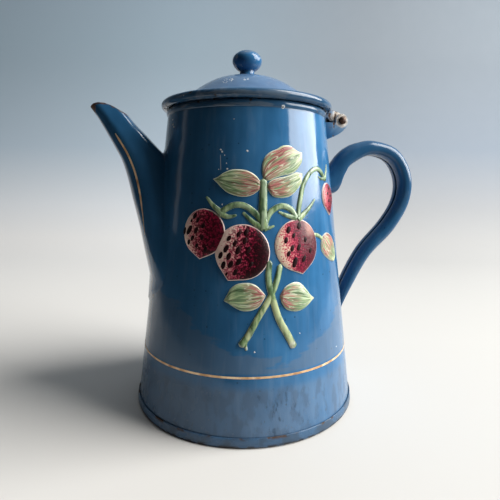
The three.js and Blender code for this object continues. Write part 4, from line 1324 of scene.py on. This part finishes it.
def finish_patch(shape, insets):
    """Closes the underside of a patch on the wall, and notes each point's distance from its outline."""
    note(shape, "inset", "FLOAT", insets)
    body = bmesh.new()
    body.from_mesh(shape)
    bmesh.ops.remove_doubles(body, verts=body.verts, dist=weld)
    bmesh.ops.holes_fill(body, edges=[edge for edge in body.edges if edge.is_boundary])
    bmesh.ops.triangulate(body, faces=[face for face in body.faces if len(face.verts) > 4])
    bmesh.ops.recalc_face_normals(body, faces=body.faces)
    body.to_mesh(shape)
    body.free()
    smooth(shape, 75)
    return shape


under_wall = -0.0001
patch_edge = 0.0003


def leaf_surface(name, base, tip, lift, left, right):
    """A leaf in rows from its stalk to its tip, domed across, with shallow brush ridges."""
    dx, dz = tip[0] - base[0], tip[1] - base[1]
    length = math.hypot(dx, dz)
    widths = list(zip(leaf_places, (0, *left, 0), (0, *right, 0)))
    rows, insets = [], []
    steps_along, steps_across = 48, 24
    for step in range(steps_along + 1):
        share, left_width, right_width = smooth_row(widths, step / steps_along)
        taper = min(1, (left_width + right_width) * 16)
        row = []
        for place in range(steps_across + 1):
            across = -1 + 2 * place / steps_across
            edge = abs(across)
            width = max(left_width if across > 0 else right_width, 0)
            side = width * across
            x = base[0] + dx * share - dz / length * side
            z = base[1] + dz * share + dx / length * side
            height = under_wall
            if edge < 1:
                ridge = 1 + 0.10 * math.cos(across * 14 + share * 3) * (1 - edge)
                height += (patch_edge + lift * (1 - edge ** 3.2) ** 0.5 * ridge) * taper
            row.append(sprig_point(x, z, height))
            insets.append(width * (1 - edge) * sprig_height)
        rows.append(row)
    return finish_patch(net(name, rows, False, Vector((0, -1, 0))), insets)


for index, (node, (base, tip, lift, left, right, pink, lopsided)) in enumerate(leaf_shares.items()):
    shape = leaf_surface(node + "_look", base, tip, lift, left, right)
    place_name = node.replace("leaf_", "").replace("_", " ")
    shape.materials.append(leaf_colour("leaf green, " + place_name, pink, lopsided, index * 3.7))
    blade = set_down(node + "_look", shape)
    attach(blade, "pot")
    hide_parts(node)

stalk = piped("side_stalk_look", [side_stalk])
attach(stalk, "pot")


# Berries. Four drops of crimson enamel, shaded from a cream edge on the left to near black on the
# right. The seeds are grains of a dark brown enamel set on them, raised a little.

berry_shares = {
    "berry_left": (-0.329, 0.578, 0.116, 0.13, -95),
    "berry_centre": (-0.127, 0.49, 0.133, 0.15, -115.5),
    "berry_right": (0.16, 0.516, 0.128, 0.14, -82),
    "berry_small": (0.448, 0.752, 0.074, 0.36, -85),
}
berry_lift = 0.0022


def berry_colour(name, stops, lean, with_painted_sheen, shift):
    """Stippled colour from one side to the other, leaning a little, with burnt places, and on one berry a
    painted sheen, grey and warm, at its upper right.
    """
    coat, moved, across, up = surface_coat(name, shift, shift)
    stipple = less(noise(moved, 30, 3), 0.5)
    cloud = less(noise(moved, 6, 3), 0.5)
    tone = add(across, product(stipple, 0.95), product(cloud, 0.35), product(less(0.5, up), lean))
    coat["colour"] = ramp(tone, stops)
    coat["rough"] = spread(noise(moved, 30, 3), 0.24, 0.42)
    coat["height"] = product(noise(moved, 26, 4), 0.25)
    burnt = product(between(noise(moved, 15, 4), 0.46, 0.54), between(across, 0.15, 0.50))
    lay_over(coat, (burnt, 0.35 if with_painted_sheen else 0.85), (0.014, 0.002, 0.004))
    # On the right berry, the grey patch and the warm patch at its upper right are painted reflection of the
    # window.
    if with_painted_sheen:
        painted_window_sheen = product(between(across, 0.46, 0.62), between(across, 0.99, 0.86), between(up, 0.20, 0.60))
        lay_over(coat, (painted_window_sheen, between(noise(moved, 14, 4), 0.36, 0.62), 0.6), (0.150, 0.070, 0.072), 0.3)
        painted_warm_sheen = product(between(across, 0.62, 0.74), between(across, 0.97, 0.88), between(up, 0.60, 0.80))
        lay_over(coat, (painted_warm_sheen, 0.7), (0.42, 0.21, 0.17), 0.3)
    # Pale rim, partly painted highlight.
    pale_rim_and_glint(coat, 0.0003, 0.0007, (0.80, 0.64, 0.58))
    return cure(coat, Specular_IOR_Level=0.2)


def dome(share):
    return berry_lift * (1 - share ** 2.6) ** 0.5


def berry_surface(name, x, z, radius, point, degrees):
    """A domed berry in rings round its middle, with straight sides to its point."""
    shape = bpy.data.meshes.new(name)
    around = 96
    shares = [0.0, 0.16, 0.32, 0.48, 0.62, 0.74, 0.84, 0.91, 0.955, 0.985]
    rings = [(share, dome(share)) for share in shares] + [(1.0, patch_edge), (1.0, under_wall)]
    flank = math.acos(1 / (1 + point))
    points, faces, uvs, insets = [], [], [], []
    for share, lift in rings:
        for step in range(around):
            from_point = math.pi * (2 * step / around - 1)
            reach = radius / math.cos(max(0, flank - abs(from_point))) * share
            turn = math.radians(degrees) + from_point
            along, up = reach * math.cos(turn), reach * math.sin(turn)
            points.append(sprig_point(x + along, z + up, lift))
            uvs.append((0.5 + 0.5 * along / radius, 0.5 + 0.5 * up / radius))
            insets.append(radius * (1 - share) * sprig_height)
    for first in range(0, around * (len(rings) - 1), around):
        for step in range(around):
            here, after = first + step, first + (step + 1) % around
            faces.append((here, after, after + around, here + around))
    shape.from_pydata(points, [], faces)
    layer = shape.uv_layers.new(name="lay")
    for loop in shape.loops:
        layer.data[loop.index].uv = uvs[loop.vertex_index]
    return finish_patch(shape, insets)


berry_stops = {
    "berry_left": (0.0, [
        (0.15, (0.95, 0.70, 0.58)),
        (0.25, (0.76, 0.31, 0.30)),
        (0.39, (0.52, 0.070, 0.115)),
        (0.56, (0.24, 0.011, 0.040)),
        (0.72, (0.125, 0.005, 0.020)),
        (0.98, (0.070, 0.003, 0.012)),
    ]),
    "berry_centre": (0.28, [
        (0.17, (0.92, 0.68, 0.58)),
        (0.28, (0.72, 0.28, 0.29)),
        (0.41, (0.46, 0.055, 0.105)),
        (0.57, (0.160, 0.006, 0.026)),
        (0.70, (0.036, 0.002, 0.007)),
        (0.84, (0.010, 0.002, 0.003)),
        (0.98, (0.05, 0.003, 0.010)),
    ]),
    "berry_right": (-0.16, [
        (0.12, (0.84, 0.66, 0.50)),
        (0.19, (0.74, 0.32, 0.29)),
        (0.27, (0.54, 0.065, 0.115)),
        (0.42, (0.27, 0.012, 0.045)),
        (0.60, (0.11, 0.005, 0.020)),
        (0.98, (0.085, 0.004, 0.015)),
    ]),
    "berry_small": (0.0, [
        (0.06, (0.70, 0.34, 0.32)),
        (0.18, (0.50, 0.090, 0.130)),
        (0.34, (0.36, 0.020, 0.050)),
        (0.80, (0.160, 0.006, 0.026)),
    ]),
}
seed_shares = {
    "berry_left": [
        (-0.40, 0.69, 1), (-0.55, 0.48, 0.5), (-0.63, 0.08, 1.5), (-0.93, 0.02, 1.1), (-0.27, 0.09, 1),
        (-0.44, -0.25, 0.85), (-0.63, -0.43, 0.8), (-0.21, -0.55, 0.75), (-0.22, 0.52, 0.8),
        (0.06, 0.30, 0.8), (0.04, -0.20, 0.8), (0.20, -0.68, 0.8),
    ],
    "berry_centre": [
        (-0.13, 0.66, 0.85), (0.13, 0.73, 1), (-0.48, 0.50, 0.85), (0.09, 0.42, 1), (-0.26, 0.33, 0.85),
        (-0.57, 0.13, 1.15), (-0.15, 0.08, 1.15), (0.21, 0.10, 1), (-0.77, -0.12, 1),
        (-0.47, -0.14, 1.1), (-0.12, -0.33, 1.15), (-0.66, -0.47, 1.1), (-0.40, -0.43, 1.15),
        (-0.52, -0.77, 0.85), (-0.24, -0.71, 1), (0.30, -0.42, 0.8),
    ],
    "berry_right": [
        (-0.45, 0.62, 1.05), (-0.58, 0.23, 0.9), (-0.25, 0.40, 0.8), (-0.34, -0.08, 0.95),
        (-0.49, -0.28, 0.85), (-0.05, -0.06, 1.05), (-0.23, -0.62, 1.5), (0.17, -0.52, 1.1),
        (0.28, 0.22, 0.8), (0.03, 0.76, 1.1), (0.52, -0.22, 0.8),
    ],
    "berry_small": [
        (-0.10, 0.62, 1), (-0.40, 0.24, 1), (0.02, 0.06, 1), (-0.30, -0.28, 1), (0.10, -0.45, 1),
        (-0.12, -0.70, 1),
    ],
}

coat = mottled_coat("seed brown", (420, 3), [
    (0.35, (0.005, 0.001, 0.002)),
    (0.7, (0.026, 0.004, 0.006)),
], (500, 2), (0.4, 0.6), (600, 2), 0.05)
seed_finish = cure(coat, Specular_IOR_Level=0.15)
seed_length, small_seed_length = 0.0023, 0.0013
seed_lean, seed_swing = -24, 9
outermost_seed = 0.94

seeding, given = new_recipe("set seeds", "Seed length")
grain = wire(seeding, "GeometryNodeMeshUVSphere", {
    "Segments": 10,
    "Rings": 6,
    "Radius": given["Seed length"],
})
set_in = wire(seeding, "GeometryNodeInstanceOnPoints", {
    "Points": given["Blank"],
    "Instance": grain.outputs["Mesh"],
    "Rotation": stored(seeding, "lie"),
    "Scale": stored(seeding, "size"),
})
rounded = wire(seeding, "GeometryNodeSetShadeSmooth", {"Geometry": set_in.outputs[0], "Shade Smooth": True})
end_recipe(seeding, rounded.outputs[0], given["Finish"])

for index, (node, (x, z, radius, point, degrees)) in enumerate(berry_shares.items()):
    shape = berry_surface(node + "_look", x, z, radius, point, degrees)
    lean, stops = berry_stops[node]
    coat_name = "crimson enamel, " + node.replace("berry_", "")
    shape.materials.append(berry_colour(coat_name, stops, lean, node == "berry_right", index * 5.3))
    berry = set_down(node + "_look", shape)
    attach(berry, "pot")
    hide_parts(node)

    points, lies, sizes = [], [], []
    for number, (across, up, grown) in enumerate(seed_shares[node]):
        reach = min(math.hypot(across, up), outermost_seed)
        lift = dome(reach)
        here = sprig_point(x + across * radius, z + up * radius, lift)
        right = (sprig_point(x + across * radius + 0.004, z + up * radius, lift) - here).normalized()
        out = Vector((here.x, here.y, 0.12 * math.hypot(here.x, here.y))).normalized()
        slope = -1.5 * berry_lift / (radius * sprig_height) * reach ** 1.2
        tall = out.cross(right).normalized()
        downhill = (right * across + tall * up).normalized() if reach > 0.05 else right
        normal = (out - downhill * slope).normalized()
        flat = right - normal * right.dot(normal)
        seed_axes = Matrix((flat.normalized(), normal.cross(flat).normalized(), normal)).transposed()
        tilt = Matrix.Rotation(math.radians(seed_lean + seed_swing * math.sin(number * 2.4)), 3, "Z")
        points.append(here)
        lies.append((seed_axes @ tilt).to_euler())
        sizes.append((0.58 * grown ** 0.6, grown, 0.15))
    blank = bpy.data.meshes.new(node + "_seeds")
    blank.from_pydata(points, [], [])
    note(blank, "lie", "FLOAT_VECTOR", lies)
    note(blank, "size", "FLOAT_VECTOR", sizes)
    length = small_seed_length if node == "berry_small" else seed_length
    seeds = follow(seeding, node + "_seeds", blank, {"Seed length": length, "Finish": seed_finish})
    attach(seeds, "pot")


# Floor and backdrop. A sheet of pale paper, bent up behind the pot, painted darker on its right and towards
# the back and top, as painted shade. It lies on a dark table that is seen only from other sides.

coat = new_coat("pale paper sweep")
tree, place = coat["tree"], coat["place"]
lens_turn = math.radians(12)
along_view = Vector((math.sin(lens_turn), math.cos(lens_turn), 0))
beside_view = Vector((math.cos(lens_turn), -math.sin(lens_turn), 0))
depth, side = (
    wire(tree, "ShaderNodeVectorMath", {0: place, 1: way}, operation="DOT_PRODUCT").outputs["Value"]
    for way in (along_view, beside_view))
way_back = product(add(depth, coat["z"]), 0.5)
# The paper darkens to blue-grey towards the back and up the sweep: painted shade.
plain = ramp(way_back, [
    (0.10, (0.640, 0.627, 0.603)),
    (0.375, (0.619, 0.615, 0.607)),
    (0.485, (0.525, 0.549, 0.574)),
    (0.650, (0.320, 0.389, 0.455)),
    (0.850, (0.246, 0.320, 0.381)),
    (1.0, (0.197, 0.254, 0.312)),
])
# The right side of the paper is painted darker: painted shade that evens out the window's light.
paper_right_painted_shade = ramp(way_back, [
    (0.05, (0.545, 0.540, 0.520)),
    (0.375, (0.385, 0.385, 0.381)),
    (0.485, (0.303, 0.312, 0.324)),
    (0.650, (0.201, 0.236, 0.280)),
    (0.850, (0.183, 0.212, 0.242)),
    (1.0, (0.139, 0.164, 0.189)),
])
coat["colour"] = blended(tree, between(side, -0.30, 0.42), plain, paper_right_painted_shade)
coat["rough"] = spread(noise(place, 30, 3), 0.8, 0.95)
coat["height"] = product(noise(place, 900, 2), 0.02)
paper = cure(coat)

bend_start = bend_radius = 0.55
backdrop_top = 2.2
floor_level = -0.0002
bend_steps = 24
profile = [(depth, floor_level) for depth in (-0.25, 0.2, bend_start)]
for step in range(1, bend_steps + 1):
    turn = math.pi / 2 * step / bend_steps
    rise = bend_radius * (1 - math.cos(turn))
    profile.append((bend_start + bend_radius * math.sin(turn), rise + floor_level))
profile.append((bend_start + bend_radius, backdrop_top))
rows = []
for depth, height in profile:
    flare = 3 * max(depth - bend_start, 0)
    sides = (-0.40 - 0.58 * depth - flare, -0.2, 0, 0.25, 0.52 + 0.6 * depth + flare)
    rows.append([along_view * depth + beside_view * side + Vector((0, 0, height)) for side in sides])
shape = net("paper_sweep", rows, False)
shape.materials.append(paper)
shape.shade_smooth()
set_down("paper_sweep", shape)

coat = mottled_coat("dark table", ((3, 40, 40), 4), [
    (0.35, (0.022, 0.018, 0.015)),
    (0.7, (0.048, 0.040, 0.034)),
], (60, 3), (0.6, 0.8), ((20, 300, 300), 4), 0.1)
rows = [[Vector((x, y, floor_level * 10)) for x in (-3.0, 0.0, 3.0)] for y in (-3.0, 0.0, 3.0)]
shape = net("table_top", rows, False)
shape.materials.append(cure(coat, Specular_IOR_Level=0.2))
set_down("table_top", shape)


# Camera, as the photograph was taken: close to the pot, a little above its middle height and
# looking slightly down, with the pot turned by 12 degrees from its straight side view.

camera_data = bpy.data.cameras.new("camera")
camera_data.sensor_fit = "HORIZONTAL"
camera_data.sensor_width = 36
camera_data.lens = 30.24
camera_data.clip_start = 0.01
camera = set_down("camera", camera_data)
camera_distance, camera_height = 0.31307, 0.15677
yaw, pitch, roll = 0.01061, 0.15128, 0.009817
turned_view = along_view * math.cos(yaw) + beside_view * math.sin(yaw)
turned_side = beside_view * math.cos(yaw) - along_view * math.sin(yaw)
gaze = turned_view * math.cos(pitch) - Vector((0, 0, math.sin(pitch)))
upright = Vector((0, 0, math.cos(pitch))) + turned_view * math.sin(pitch)
right = turned_side * math.cos(roll) + upright * math.sin(roll)
above = upright * math.cos(roll) - turned_side * math.sin(roll)
camera.matrix_world = Matrix((right, above, -gaze)).transposed().to_4x4()
camera.location = along_view * -camera_distance + Vector((0, 0, camera_height))
scene.camera = camera


# Light. A tall soft window stands at the right, and a gap of light is at the left, as of a door
# ajar. A dim lamp is on the backdrop, and the ceiling and the room give a little more.


def soft_box(name, place, aim, width, height, power, tint):
    box = bpy.data.lights.new(name, "AREA")
    box.shape = "RECTANGLE"
    box.size, box.size_y = width, height
    box.energy = power
    box.color = tint
    lamp = set_down(name, box)
    lamp.location = place
    lamp.rotation_euler = (Vector(aim) - Vector(place)).to_track_quat("-Z", "Y").to_euler()


window_turn = math.radians(-17.5)
window_way = Vector((math.cos(window_turn), math.sin(window_turn), 0))
window_middle = Vector((0, 0, 1.87))
soft_box("window", window_way * 1.55 + window_middle, window_middle, 1.47, 3.10, 165, (1.0, 0.985, 0.96))
soft_box("ceiling", Vector((0, 0, 1.9)), (0, 0, 0), 1.6, 1.6, 4.2, (0.96, 0.98, 1.0))
backdrop_side = along_view * 0.35 + beside_view * 0.95 + Vector((0, 0, 0.95))
backdrop_aim = backdrop_side + along_view + beside_view * -0.35
soft_box("backdrop_light", backdrop_side, backdrop_aim, 0.7, 0.7, 3.0, (0.94, 0.97, 1.0))
gap_turn = math.radians(163)
gap_way = Vector((math.cos(gap_turn), math.sin(gap_turn), 0))
soft_box("door_gap", gap_way + Vector((0, 0, 0.55)), (0, 0, 0.35), 0.15, 0.8, 0.15, (1.0, 0.95, 0.92))
room = bpy.data.worlds.new("room")
room.use_nodes = True
room.node_tree.nodes["Background"].inputs["Color"].default_value = (0.74, 0.76, 0.78, 1)
room.node_tree.nodes["Background"].inputs["Strength"].default_value = 0.03
scene.world = room
scene.view_settings.view_transform = "Standard"
